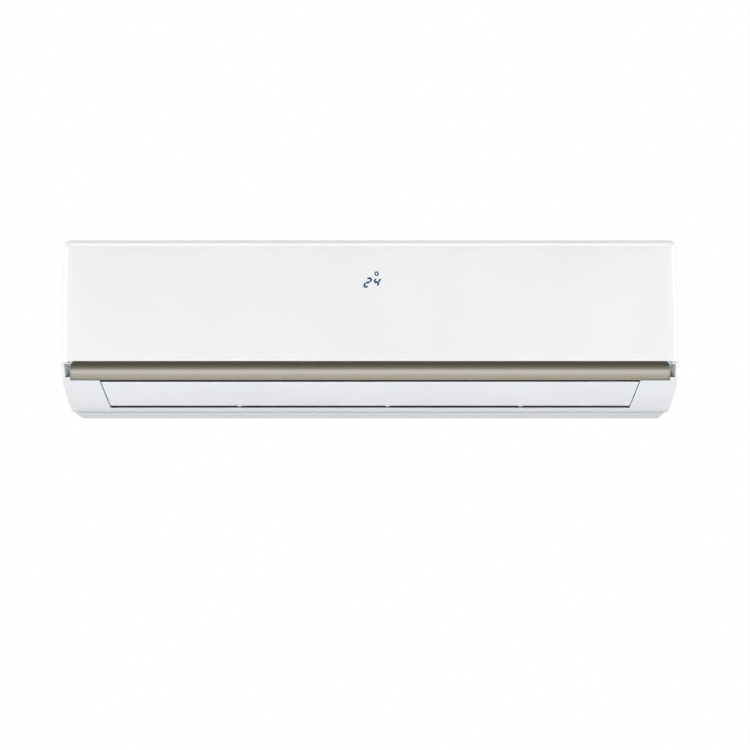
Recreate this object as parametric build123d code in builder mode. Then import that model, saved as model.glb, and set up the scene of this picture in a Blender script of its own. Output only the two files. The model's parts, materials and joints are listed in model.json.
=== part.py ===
from build123d import *
import os
from math import acos, asin, atan2, cos, degrees, hypot, radians, sin, sqrt

# Indoor unit of a wall-hung split air conditioner. X runs along the wall, the wall is the
# plane Y = 0, the room is towards -Y, Z is up and the origin is at the middle of the back.
# In side sections "out" is the distance from the wall and "up" the height over the bottom.

# Overall sizes
width = 940.0
height = 275.0
depth = 205.0

# Moulded walls, sheet metal and clearances
shell = 2.5
sheet = 1.2
seam = 0.4
play = 0.3
pin_play = 0.1

# Front view of the casing
corner_radius = 11.0
side_arc_radius = 380.0
side_arc_up = 92.0
case_bottom = 9.8
chassis_inset = 4.0
foot_chamfer = 9.0

# Side view of the casing: the plane where panel and case part leans outwards to the bottom
chassis_front = 36.0
parting_top = depth - 59
parting_low = depth - 26
strip_low = 59.7
strip_high = 88.6
lip_out = depth - 88
louver_sag = 4.0

# Front panel
panel_wall = 3.0
panel_inset = 0.8
panel_edge_radius = 9.0
bead_radius = 3.6
strip_half = 456.8
strip_thickness = 2.0
finger_width = 8.2
finger_low = 64.0
finger_high = 84.7

# Outlet, louver and its hinge
louver_half_top = 410.0
louver_half_low = 400.0
louver_top = 57.3
louver_low = 20.0
outlet_low = 17.0
louver_thickness = 3.0
hinge_out = lip_out + 16
hinge_up = 24.6
hinge_pin = 1.5
bracket_width = 6.0
coupling_radius = 3.0
bracket_places = (-202.0, 27.0, 233.0)

# Fan
fan_radius = 49.0
fan_out = 78.0
fan_up = 118.0
fan_left = -392.0
fan_right = 328.0
fan_blades = 20
fan_rings = 1
blade_thickness = 1.0
shaft_radius = 4.0

# Air guide behind the fan
scroll_radius = 61.0
scroll_out = 22.0
scroll_up = 110.0
scroll_top_up = 180.0
duct_left = -402.0
duct_right = 338.0

# Coil
coil_thickness = 22.0
coil_setback = 12.7
coil_left = -388.0
coil_right = 326.0
coil_low = 93.0
coil_row_length = 62.0
coil_apex_drop = 25.0
fin_count = 18
tube_radius = 4.75

# Mounting plate
plate_half = 400.0
plate_low = 35.0
plate_high = 240.0
back_wall_out = 9.5
rim_out = 1.5
screw_span = 640.0
screw_rise = 150.0
screw_hole_radius = 2.6


def side(out, up):
    """A point of the side section in a sketch plane that faces along the unit."""
    return (-out, up - height / 2)


def station(x):
    """The sketch plane of the side section at a place along the unit."""
    return Plane.YZ.offset(x)


def parting(up, front=0.0):
    """A point at a height, that far in front of the plane where panel and case part."""
    slope = (parting_low - parting_top) / (height - strip_low)
    return (parting_top + (height - up) * slope + front * hypot(1, slope), up)


def along(start, end, distance, aside=0.0):
    """The point a distance from start towards end, and then that far to the left."""
    run, rise = end[0] - start[0], end[1] - start[1]
    length = hypot(run, rise)
    return (
        start[0] + (run * distance - rise * aside) / length,
        start[1] + (rise * distance + run * aside) / length,
    )


def bulge(start, end, sag):
    """The middle point of an arc that stands off its chord to the left by sag."""
    return along(start, end, hypot(end[0] - start[0], end[1] - start[1]) / 2, sag)


def outline_half_width(up, inset=0.0):
    """Half the casing's width at a height under the level where its sides draw in."""
    reach = side_arc_radius - inset
    return width / 2 - side_arc_radius + sqrt(reach**2 - (side_arc_up - up) ** 2)


def front_outline(inset, low, out=0.0):
    """The casing in the front view down to a height, drawn in by the inset."""
    high = height - inset
    half = width / 2 - inset
    radius = corner_radius - inset
    with BuildSketch(Plane.XZ.offset(out)) as outline:
        with BuildLine():
            top = Line((0, high - height / 2), (half - radius, high - height / 2))
            corner = CenterArc(
                (half - radius, high - radius - height / 2), radius, 0, 90
            )
            Line(corner @ 0, (half, side_arc_up - height / 2))
            drop = asin((side_arc_up - low) / (side_arc_radius - inset))
            flank = CenterArc(
                (width / 2 - side_arc_radius, side_arc_up - height / 2),
                side_arc_radius - inset,
                -degrees(drop),
                degrees(drop),
            )
            Line(flank @ 0, (0, low - height / 2))
            mirror(about=Plane.YZ)
        make_face()
    return outline.sketch


def side_area(points, x=0.0):
    """A straight-sided area of the side section."""
    with BuildSketch(station(x)) as area:
        with BuildLine():
            Polyline(*[side(*point) for point in points], close=True)
        make_face()
    return area.sketch


def side_disc(centre, radius, x=0.0):
    """A round area of the side section."""
    with BuildSketch(station(x)) as disc:
        with Locations(side(*centre)):
            Circle(radius)
    return disc.sketch


def peg(radius, room=False, mode=Mode.ADD):
    """A small pin's eight-sided section, or the hole that lets such a pin turn."""
    RegularPolygon(radius, 8, major_radius=not room, rotation=22.5, mode=mode)


def peg_area(centre, radius, x, room=False):
    """A small pin's or hole's area of the side section."""
    with BuildSketch(station(x)) as area:
        with Locations(side(*centre)):
            peg(radius, room)
    return area.sketch


def boss(radius, sides=16, mode=Mode.ADD):
    """A turned piece's section inside the unit, or its seat, as wide as the flats."""
    RegularPolygon(radius, sides, major_radius=False, mode=mode)


def boss_area(centre, radius, x, sides=16):
    """A turned piece's or its seat's area of the side section."""
    with BuildSketch(station(x)) as area:
        with Locations(side(*centre)):
            boss(radius, sides)
    return area.sketch


def write(piece, name):
    """Labels a finished piece and writes it."""
    piece.part.label = name
    export_step(piece.part, f"parts/{name}.step")


os.makedirs("parts", exist_ok=True)

# The louver's arc: the case's lower front bulges down and outwards between these points
nose_low = (lip_out, case_bottom)
nose_high = (parting(strip_low)[0] + 13, strip_low - 1.2)
nose_chord = hypot(nose_high[0] - nose_low[0], nose_high[1] - nose_low[1])
nose_radius = nose_chord**2 / (8 * louver_sag) + louver_sag / 2
nose_centre = bulge(nose_low, nose_high, nose_radius - louver_sag)


def nose_point(up, inset=0.0):
    """A point on the louver's arc at a height, or that far inside it."""
    reach = nose_radius - inset
    return (nose_centre[0] + sqrt(reach**2 - (up - nose_centre[1]) ** 2), up)


# The air guide: round behind the fan, then straight to the outlet's lower lip
scroll_centre = (scroll_out + scroll_radius, scroll_up)
guide_end = (lip_out - 1.2, case_bottom + 5.7)
guide_run = hypot(guide_end[0] - scroll_centre[0], guide_end[1] - scroll_centre[1])
guide_angle = atan2(
    guide_end[1] - scroll_centre[1], guide_end[0] - scroll_centre[0]
) - acos(scroll_radius / guide_run)
guide_start = (
    scroll_centre[0] + scroll_radius * cos(guide_angle),
    scroll_centre[1] + scroll_radius * sin(guide_angle),
)
scroll_mid_angle = (guide_angle - radians(180)) / 2
scroll_mid = (
    scroll_centre[0] + scroll_radius * cos(scroll_mid_angle),
    scroll_centre[1] + scroll_radius * sin(scroll_mid_angle),
)


def duct(run, rise):
    """A point of the outlet duct: along the lower guide, and square off it."""
    return along(guide_start, guide_end, run, rise)


# The coil's corners: a lower block, an upper block behind it and one over the fan's back
fan_centre = (fan_out, fan_up)
coil_foot = parting(coil_low, -coil_setback)
coil_lower_length = coil_row_length + coil_thickness
coil_knee = along(coil_foot, parting(height, -coil_setback), coil_lower_length)
coil_inner_knee = along(coil_knee, coil_foot, 0, -coil_thickness)
coil_apex = (fan_out + 1.4, height - coil_apex_drop - 12.5)
coil_upper_foot = along(coil_inner_knee, coil_apex, 4)
coil_upper_length = hypot(
    coil_apex[0] - coil_upper_foot[0], coil_apex[1] - coil_upper_foot[1]
)
coil_rear_apex = along(coil_apex, coil_upper_foot, -1, -coil_thickness - 1)
coil_rear_foot = (fan_out - 68 + coil_thickness, scroll_top_up + 12)
coil_rear_length = hypot(
    coil_rear_apex[0] - coil_rear_foot[0], coil_rear_apex[1] - coil_rear_foot[1]
)


# Louver hinge: the axis lies inside the lower lip, so the louver's edge swings over the lip
hinge = (hinge_out, hinge_up)
louver_edge = nose_point(louver_low)
louver_reach = hypot(louver_edge[0] - hinge[0], louver_edge[1] - hinge[1])


def louver_half(up):
    """Half the louver's length at a height, between its slanted ends."""
    slant = (louver_half_top - louver_half_low) / (louver_top - louver_low)
    return louver_half_low + (up - louver_low) * slant


def outlet_front(gap, high, low, out=0.0):
    """The louver's front view between two heights, widened by a gap at its ends."""
    top_half, low_half = louver_half(high) + gap, louver_half(low) + gap
    with BuildSketch(Plane.XZ.offset(out)) as front:
        with BuildLine():
            Polyline(
                (-top_half, high - height / 2),
                (top_half, high - height / 2),
                (low_half, low - height / 2),
                (-low_half, low - height / 2),
                close=True,
            )
        make_face()
    return front.sketch


# Mounting plate: pressed steel on the wall, with beads, two hooks and two lower catches
hook_places = (-250.0, 250.0)
hook_width = 20.0
hook_up = 234.0
catch_up = 50.0

with BuildPart() as mounting_plate:
    with BuildSketch(Plane.XZ) as plate_face:
        with Locations((0, (plate_low + plate_high) / 2 - height / 2)):
            Rectangle(2 * plate_half, plate_high - plate_low)
        with GridLocations(screw_span, screw_rise, 2, 2):
            Circle(screw_hole_radius, mode=Mode.SUBTRACT)
        with Locations((0, plate_low - height / 2)):
            Rectangle(340, 70, mode=Mode.SUBTRACT)
        with GridLocations(210, 0, 4, 1):
            Rectangle(52, 8, mode=Mode.SUBTRACT)
    extrude(amount=sheet)
    with BuildSketch(Plane.XZ.offset(sheet)) as beads:
        with Locations((0, plate_high - 32 - height / 2), (0, 102 - height / 2)):
            Rectangle(660, 10)
    extrude(amount=2.5, taper=25)
    for place in hook_places:
        with BuildSketch(station(place - hook_width / 2)) as hook:
            with BuildLine():
                Polyline(
                    side(sheet, hook_up - sheet),
                    side(back_wall_out + shell + play + sheet, hook_up - sheet),
                    side(back_wall_out + shell + play + sheet, hook_up + 11),
                    side(back_wall_out + shell + play, hook_up + 11),
                    side(back_wall_out + shell + play, hook_up),
                    side(sheet, hook_up),
                    close=True,
                )
            make_face()
        extrude(amount=hook_width)
        with BuildSketch(station(place - hook_width / 2)) as catch:
            with BuildLine():
                Polyline(
                    side(sheet, catch_up),
                    side(back_wall_out - 1.5, catch_up),
                    side(back_wall_out - 1.5, catch_up - 9),
                    side(back_wall_out - 1.5 - sheet, catch_up - 9),
                    side(back_wall_out - 1.5 - sheet, catch_up - sheet),
                    side(sheet, catch_up - sheet),
                    close=True,
                )
            make_face()
        extrude(amount=hook_width)
write(mounting_plate, "mounting_plate")


# Rear chassis: rim and back wall, foot, air guide with its end walls, ribs and motor seat
foot_half = outline_half_width(case_bottom) - chassis_inset
foot_nose = guide_end[0] - 3.0
channel_high = scroll_up - scroll_radius + 9
vane_pitch = 74.0
vane_first = -362.0
vane_count = 10
vane_pivot_run = 34.0
vane_pin = 1.8
motor_radius = 44.0
can_sides = 24
wall_hole_radius = 15.0
motor_hole_radius = 26.0
motor_left = duct_right + 5
motor_length = 50.0
duct_flare = 64.0
flare_start = 38.0
flare_end = 76.0
guide_right = duct_right + duct_flare
trough_lip = coil_rear_foot[0] + 8
pivot_plane = Plane(
    origin=(0, -duct(vane_pivot_run, 0)[0], duct(vane_pivot_run, 0)[1] - height / 2),
    x_dir=(1, 0, 0),
    z_dir=(
        0,
        duct(0, 0)[0] - duct(0, 1)[0],
        duct(0, 1)[1] - duct(0, 0)[1],
    ),
)


wall_rear = (fan_out + 46.3, fan_up - 31.1)
wall_front = parting(68, -6)


def duct_wall(front_inset):
    """The side wall of fan and outlet, inside coil, air guide and louver."""
    return [
        (scroll_out - shell / 2, scroll_up),
        (scroll_out - shell / 2, scroll_top_up + 2),
        (coil_rear_foot[0] + 3, scroll_top_up + 6),
        (coil_rear_apex[0], coil_rear_apex[1] - 8),
        (coil_inner_knee[0] - 4, coil_inner_knee[1] - 3),
        (wall_rear[0] + 1, wall_rear[1] + 14),
        wall_rear,
        wall_front,
        nose_point(strip_low - 3, front_inset),
        nose_point(44, front_inset),
        nose_point(27.5, front_inset),
        nose_point(23.5, shell + seam),
        nose_point(19, shell + seam),
        along(guide_end, guide_start, 0.2, 0.3),
        along(guide_start, guide_end, 0, -1.2),
        (scroll_mid[0] - 0.8, scroll_mid[1] - 0.8),
    ]


# The outlet's right wall slants from the fan's end to the outlet's end, below the motor
with BuildPart() as flare_wall:
    with BuildSketch(pivot_plane.offset(-1.2)) as flare_line:
        with BuildLine():
            Polyline(
                (duct_right, vane_pivot_run - flare_start),
                (duct_right + 4.5, vane_pivot_run - flare_start),
                (guide_right + 2, vane_pivot_run - flare_end + 2),
                (guide_right, vane_pivot_run - flare_end),
                close=True,
            )
        make_face()
    extrude(amount=160)
    extrude(
        side_area(duct_wall(8), duct_right), amount=duct_flare + shell, mode=Mode.INTERSECT
    )

with BuildPart() as rear_chassis:
    extrude(front_outline(0, case_bottom, rim_out), amount=chassis_front - seam - rim_out)
    extrude(
        front_outline(shell, case_bottom + shell, rim_out - 1),
        amount=chassis_front,
        mode=Mode.SUBTRACT,
    )
    extrude(front_outline(shell / 2, channel_high, back_wall_out), amount=shell)
    foot = [
        (rim_out, 0),
        (foot_nose - 12, 0),
        (foot_nose, case_bottom - 1.6),
        (foot_nose, case_bottom - seam),
        (chassis_front - seam, case_bottom - seam),
        (chassis_front - seam, case_bottom + 1),
        (rim_out, case_bottom + 1),
    ]
    extrude(side_area(foot, -foot_half), amount=2 * foot_half)
    chamfer(
        rear_chassis.edges().filter_by(Axis.Y).group_by(Axis.Z)[0], length=foot_chamfer
    )
    foot_room = [
        (rim_out + shell, shell),
        (foot_nose - 12.5, shell),
        (foot_nose - shell, case_bottom - 1),
        (foot_nose - shell, case_bottom + 6),
        (rim_out + shell, case_bottom + 6),
    ]
    extrude(
        side_area(foot_room, foot_chamfer - foot_half), amount=2 * (foot_half - foot_chamfer),
        mode=Mode.SUBTRACT,
    )
    with BuildSketch(station(duct_left - shell)) as guide:
        with BuildLine():
            Line(side(scroll_out, scroll_top_up + 5), side(scroll_out, scroll_up))
            ThreePointArc(
                side(scroll_out, scroll_up), side(*scroll_mid), side(*guide_start)
            )
            Line(side(*guide_start), side(*guide_end))
            offset(amount=shell, side=Side.LEFT)
        make_face()
    extrude(amount=guide_right - duct_left + 2 * shell)
    trough = [
        (back_wall_out + 1, scroll_top_up + 5),
        (trough_lip, scroll_top_up + 3),
        (trough_lip, scroll_top_up + 9),
        (trough_lip + 2, scroll_top_up + 9),
        (trough_lip + 2, scroll_top_up + 1),
        (back_wall_out + 1, scroll_top_up + 3),
    ]
    extrude(side_area(trough, duct_left - shell), amount=guide_right - duct_left + 2 * shell)
    extrude(side_area(duct_wall(8), duct_left - shell), amount=shell)
    extrude(side_area(duct_wall(8), duct_right), amount=shell)
    extrude(side_area(duct_wall(8), guide_right), amount=shell)
    for x, hole_radius in ((duct_left, wall_hole_radius), (duct_right, motor_hole_radius)):
        extrude(
            boss_area(fan_centre, hole_radius, x - 10), amount=20, mode=Mode.SUBTRACT
        )
    flare_cut = [
        duct(flare_start, 0), duct(200, 0), duct(200, 150), duct(flare_start, 58)
    ]
    extrude(side_area(flare_cut, duct_right - 1), amount=shell + 2, mode=Mode.SUBTRACT)
    slot_height = 14.0
    with BuildSketch(Plane.XZ.offset(back_wall_out - 1)) as hook_slots:
        for place in hook_places:
            with Locations((place, hook_up + play - slot_height / 2 - height / 2)):
                Rectangle(hook_width + 2, slot_height)
    extrude(amount=shell + 2, mode=Mode.SUBTRACT)
    with BuildSketch(pivot_plane.offset(-2 * shell)) as pivot_holes:
        with Locations(*[(vane_first + vane_pitch * i, 0) for i in range(vane_count)]):
            peg(vane_pin + pin_play, room=True)
    extrude(amount=3 * shell, mode=Mode.SUBTRACT)
    extrude(
        peg_area(hinge, hinge_pin + pin_play, duct_left - 5, room=True),
        amount=10,
        mode=Mode.SUBTRACT,
    )
    extrude(
        peg_area(hinge, coupling_radius + 1.2, guide_right - 5, room=True),
        amount=10,
        mode=Mode.SUBTRACT,
    )
    for x in (duct_left - shell, -100, 100, duct_right, guide_right):
        stay = [
            (back_wall_out + shell / 2, scroll_top_up + 4),
            (scroll_out - shell / 2, scroll_top_up + 4),
            (scroll_out - shell / 2, scroll_up),
            (back_wall_out + shell / 2, scroll_up - 20),
        ]
        extrude(side_area(stay, x), amount=shell)
    add(flare_wall.part)
    for x in (motor_left + 8, motor_left + motor_length - 12):
        saddle = [
            (scroll_mid[0] - 0.8, scroll_mid[1] - 0.8),
            (guide_start[0], guide_start[1] - 1),
            duct(22, -1),
            (fan_out + 33, fan_up - 37),
            (fan_out + 27, fan_up - 31),
            (scroll_out - 1, fan_up),
            (scroll_out - 1, scroll_up),
        ]
        extrude(side_area(saddle, x), amount=4)
        extrude(
            boss_area(fan_centre, motor_radius + play, x, can_sides),
            amount=4,
            mode=Mode.SUBTRACT,
        )
write(rear_chassis, "rear_chassis")


# Front case: one moulding with top, flanks, the leaning front wall, nose and lower lip
window_inner = 36.0
window_outer = 384.0
window_low = 84.0
window_high = 240.0
grille_half = 392.0
grille_rear = 50.0
grille_front = parting_top - 12
finger_depth = 16.0
button_x = 430.0
button_up = 112.0
button_radius = 5.0
rail_inner = 25.0
rail_outer = 395.0
rail_low = 81.0
rail_high = 200.0
rail_depth = 8.5
stop_width = 40.0
lug_places = (-330.0, 330.0)
lug_width = 6.0
panel_hinge = parting(height - panel_inset - bead_radius, bead_radius + seam)
case_screw_places = (-310.0, 0.0, 310.0)
case_screw_up = 76.0
case_screw_radius = 1.8


def case_section(x, inset=0.0, rear=chassis_front):
    """The front case's side section over its whole length, drawn in by the inset."""
    low, high, ledge = case_bottom + inset, height - inset, strip_low - seam - inset
    with BuildSketch(station(x)) as section:
        with BuildLine():
            Polyline(
                side(*nose_point(ledge, inset)),
                side(*parting(ledge, -inset)),
                side(*parting(high, -inset)),
                side(rear, high),
                side(rear, low),
                side(*nose_point(low, inset)),
            )
            ThreePointArc(
                side(*nose_point(low, inset)),
                side(*nose_point((low + ledge) / 2, inset)),
                side(*nose_point(ledge, inset)),
            )
        make_face()
    return section.sketch


with BuildPart() as case_room:
    extrude(case_section(-width / 2, shell, chassis_front - 1), amount=width)
    extrude(
        front_outline(shell, case_bottom + shell, chassis_front - 2),
        amount=depth,
        mode=Mode.INTERSECT,
    )

with BuildPart() as front_case:
    extrude(case_section(-width / 2), amount=width)
    cheek = [
        parting(strip_low - seam - 1, -1),
        (nose_high[0], nose_high[1]),
        (nose_high[0] + 0.5, strip_low + 4),
        (nose_high[0] + 2, strip_low + 14),
        (nose_high[0] + 6.5, strip_high - 2.2),
        parting(strip_high - 2.2, -1),
    ]
    cheek_inner = strip_half + seam
    extrude(side_area(cheek, cheek_inner), amount=width / 2 - cheek_inner)
    extrude(side_area(cheek, -width / 2), amount=width / 2 - cheek_inner)
    extrude(
        front_outline(0, case_bottom, chassis_front - 2), amount=depth, mode=Mode.INTERSECT
    )
    add(case_room, mode=Mode.SUBTRACT)
    # outlet, whose lower lip follows the swing of the louver's edge
    extrude(
        outlet_front(1.5, strip_low + 5, outlet_low, hinge[0] - 8),
        amount=depth,
        mode=Mode.SUBTRACT,
    )
    extrude(
        side_disc(hinge, louver_reach + 0.6, -louver_half_low - 1.5),
        amount=2 * louver_half_low + 3,
        mode=Mode.SUBTRACT,
    )
    # windows for the filters, with the wall's own grid left between them
    with BuildSketch(Plane.XZ.offset(parting_top - 30)) as windows:
        span = (window_outer - window_inner - 2 * 8) / 3
        rise = (window_high - window_low - 8) / 2
        for mirror_side in (-1, 1):
            with Locations((
                mirror_side * (window_inner + window_outer) / 2,
                (window_low + window_high) / 2 - height / 2,
            )):
                with GridLocations(span + 8, rise + 8, 3, 2):
                    Rectangle(span, rise)
    extrude(amount=depth, mode=Mode.SUBTRACT)
    with BuildSketch(Plane.XY.offset(height / 2 - 10)) as top_opening:
        with Locations((0, -(grille_rear + grille_front) / 2)):
            Rectangle(2 * grille_half, grille_front - grille_rear)
    extrude(amount=20, mode=Mode.SUBTRACT)
    # finger recesses beside the strip
    for mirror_side in (-1, 1):
        with BuildSketch(Plane.XY.offset(finger_low - height / 2)) as recess:
            with BuildLine():
                Polyline(
                    (mirror_side * (cheek_inner - 5), -depth - 1),
                    (mirror_side * (cheek_inner + finger_width), -depth - 1),
                    (mirror_side * (cheek_inner + finger_width), -nose_high[0]),
                    (mirror_side * (cheek_inner + 3), finger_depth - nose_high[0]),
                    (mirror_side * (cheek_inner - 5), finger_depth - nose_high[0]),
                    close=True,
                )
            make_face()
        extrude(amount=finger_high - finger_low, mode=Mode.SUBTRACT)
    with BuildSketch(Plane.XZ.offset(parting_top - 30)) as holes:
        with Locations((button_x, button_up - height / 2)):
            peg(button_radius + play, room=True)
        with Locations(*[(x, case_screw_up - height / 2) for x in case_screw_places]):
            peg(case_screw_radius + play, room=True)
    extrude(amount=depth, mode=Mode.SUBTRACT)
    # rails and stops that the filters stand in
    for mirror_side in (-1, 1):
        for x in (rail_inner, rail_outer):
            rail = [
                parting(rail_low, -1.5),
                parting(rail_low, -rail_depth),
                parting(rail_high, -rail_depth),
                parting(rail_high, -1.5),
            ]
            extrude(side_area(rail, mirror_side * x - 1), amount=2)
        ledge = [
            parting(rail_low - 1, -1.5),
            parting(rail_low - 1, -rail_depth),
            parting(rail_low + 1, -rail_depth),
            parting(rail_low + 1, -1.5),
        ]
        for x in (rail_inner + stop_width / 2, rail_outer - stop_width / 2):
            extrude(side_area(ledge, mirror_side * x - stop_width / 2), amount=stop_width)
    # lugs that carry the panel's hinge
    for place in lug_places:
        lug = [
            parting(height - 1, -1),
            (panel_hinge[0] + 1, height - 1),
            (panel_hinge[0] + 3, panel_hinge[1]),
            (panel_hinge[0], panel_hinge[1] - 4),
            parting(panel_hinge[1] - 7, -1),
        ]
        extrude(side_area(lug, place - lug_width / 2), amount=lug_width)
        extrude(
            peg_area(panel_hinge, hinge_pin + pin_play, place - lug_width, room=True),
            amount=2 * lug_width,
            mode=Mode.SUBTRACT,
        )
write(front_case, "front_case")


# Intake grille: a clip-in piece of long bars and cross bars in the case's top
grille_bars = 4
grille_ribs = 6
grille_thickness = 3.0

with BuildPart() as top_grille:
    grille_middle = (grille_rear + grille_front) / 2
    grille_depth = grille_front - grille_rear - 2 * seam
    with BuildSketch(Plane.XY.offset(height / 2 - grille_thickness)) as grille_plate:
        with Locations((0, -grille_middle)):
            Rectangle(2 * (grille_half - seam), grille_depth)
            slot_length = (2 * grille_half - 20) / grille_ribs - 3
            slot_rise = (grille_depth - 12) / grille_bars - 3
            with GridLocations(slot_length + 3, slot_rise + 3, grille_ribs, grille_bars):
                Rectangle(slot_length, slot_rise, mode=Mode.SUBTRACT)
    extrude(amount=grille_thickness)
    with BuildSketch(Plane.XY.offset(height / 2 - shell - play - 1.5)) as tongues:
        for row in (-1, 1):
            with Locations((0, -grille_middle + row * (grille_depth / 2 - 1))):
                with GridLocations(180, 0, 4, 1):
                    Rectangle(20, 8)
    extrude(amount=1.5)
    with BuildSketch(Plane.XY.offset(height / 2 - shell - play - 1.5)) as skirts:
        for row in (-1, 1):
            with Locations((0, -grille_middle + row * (grille_depth / 2 - 2))):
                with GridLocations(180, 0, 4, 1):
                    Rectangle(20, 3)
    extrude(amount=3)
write(top_grille, "top_grille")


# Front panel: a dished cover whose rear top edge is the round bead that it hinges on
panel_top = height - panel_inset
panel_corner = (depth - 36, panel_top)
panel_brow = (depth - 0.4, strip_high)
brow_sag = 3.4
brow_radius = 3.0
cove_sag = 2.5
carrier_top = (nose_high[0] + 4.2, strip_high)
carrier_low = (nose_high[0] - 4.6, strip_low + seam)
bead_end = width / 2 - corner_radius - 2


def panel_core(inset, side_inset, rear):
    """The panel's dished form before rounding, drawn in by the insets."""
    corner = along(panel_corner, panel_brow, inset, -inset)
    brow = along(panel_brow, panel_corner, inset, inset)
    with BuildPart() as core:
        with BuildSketch(station(-width / 2)) as section:
            with BuildLine():
                ThreePointArc(
                    side(*corner), side(*bulge(corner, brow, brow_sag)), side(*brow)
                )
                Polyline(
                    side(*brow),
                    side(*parting(brow[1], rear)),
                    side(*parting(corner[1], rear)),
                    side(*corner),
                )
            make_face()
        extrude(amount=width)
        extrude(
            front_outline(panel_inset + side_inset, strip_low - 5, parting_top - 40),
            amount=depth,
            mode=Mode.INTERSECT,
        )
    return core.part


def panel_form():
    """The panel's form with its rounded border and chin."""
    with BuildPart() as form:
        add(panel_core(0, 0, seam))
        hinge_corner = [
            panel_hinge,
            (panel_hinge[0], panel_top + 1),
            parting(panel_top + 1, -1),
            parting(panel_hinge[1], -1),
        ]
        with BuildPart(mode=Mode.SUBTRACT):
            extrude(side_area(hinge_corner, -width / 2), amount=width)
            extrude(
                side_disc(panel_hinge, bead_radius, -width / 2),
                amount=width,
                mode=Mode.SUBTRACT,
            )
        border = [
            edge
            for edge in form.edges()
            if -edge.bounding_box().max.Y > parting(edge.center().Z + height / 2, 12)[0]
            and edge.center().Z > strip_high + 9 - height / 2
        ]
        fillet(border, panel_edge_radius)
        chin = [
            edge
            for edge in form.edges().filter_by(Axis.X)
            if edge.length > width / 2
            and -edge.center().Y > panel_brow[0] - 1
            and abs(edge.center().Z + height / 2 - panel_brow[1]) < 1
        ]
        fillet(chin, brow_radius)
    return form.part


with BuildPart() as front_panel:
    add(panel_form())
    with BuildSketch(station(-strip_half)) as carrier:
        with BuildLine():
            ThreePointArc(
                side(*carrier_top),
                side(*bulge(carrier_top, carrier_low, -cove_sag)),
                side(*carrier_low),
            )
            Polyline(
                side(*carrier_low),
                side(*parting(strip_low + seam, seam)),
                side(*parting(strip_high + 8, seam)),
                side(carrier_top[0], strip_high + 8),
                side(*carrier_top),
            )
        make_face()
    extrude(amount=2 * strip_half)
    add(panel_core(panel_wall, panel_wall + 2.5, -4), mode=Mode.SUBTRACT)
    cove_room = [
        parting(strip_low + 4, -4),
        parting(strip_high + 12, -4),
        (carrier_top[0] - panel_wall, strip_high + 12),
        (carrier_top[0] - panel_wall, strip_high - 4),
        (carrier_low[0] - panel_wall, strip_low + 8),
        (carrier_low[0] - panel_wall - 1, strip_low + 4),
    ]
    extrude(
        side_area(cove_room, panel_wall - strip_half),
        amount=2 * (strip_half - panel_wall),
        mode=Mode.SUBTRACT,
    )
    extrude(side_disc(panel_hinge, bead_radius, -bead_end), amount=2 * bead_end)
    bead_link = [
        (panel_hinge[0], panel_top),
        (panel_hinge[0] + 14, panel_top),
        (panel_hinge[0] + 14, panel_top - panel_wall),
        (panel_hinge[0], panel_hinge[1]),
    ]
    extrude(side_area(bead_link, -bead_end), amount=2 * bead_end)
    for place in lug_places:
        lug_room = [
            parting(height, -1),
            (panel_hinge[0] + 4.5, height),
            (panel_hinge[0] + 4.5, panel_hinge[1] - 8),
            parting(panel_hinge[1] - 8, -1),
        ]
        extrude(
            side_area(lug_room, place - lug_width / 2 - seam),
            amount=lug_width + 2 * seam,
            mode=Mode.SUBTRACT,
        )
        extrude(
            peg_area(panel_hinge, hinge_pin, place - lug_width), amount=2 * lug_width
        )
write(front_panel, "front_panel")


# Trim strip: a thin coved profile with rounded upper ends, set into the panel's lower edge
strip_gap = 0.1
strip_corner = 7.6

with BuildPart() as trim_strip:
    with BuildSketch(station(-strip_half)) as strip_section:
        with BuildLine():
            back = ThreePointArc(
                side(carrier_top[0] + strip_gap, carrier_top[1] - 0.2),
                side(*along(
                    bulge(carrier_top, carrier_low, -cove_sag), carrier_top, 0, -strip_gap
                )),
                side(carrier_low[0] + strip_gap, carrier_low[1]),
            )
            offset(amount=strip_thickness, side=Side.RIGHT)
        make_face()
    extrude(amount=2 * strip_half)
    with BuildSketch(Plane.XZ.offset(carrier_low[0] - 20)) as strip_front:
        with BuildLine():
            FilletPolyline(
                (-strip_half, strip_low - 3 - height / 2),
                (-strip_half, strip_high - 0.2 - height / 2),
                (strip_half, strip_high - 0.2 - height / 2),
                (strip_half, strip_low - 3 - height / 2),
                radius=strip_corner,
            )
            Line((strip_half, strip_low - 3 - height / 2), (-strip_half, strip_low - 3 - height / 2))
        make_face()
    extrude(amount=60, mode=Mode.INTERSECT)
write(trim_strip, "trim_strip")


# Louver: a curved blade with slanted ends, hung on ears beside the three brackets
ear_width = 3.0
ear_radius = 4.0
eye_room = 5.0
louver_pin_end = louver_half_low + 5.5

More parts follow.
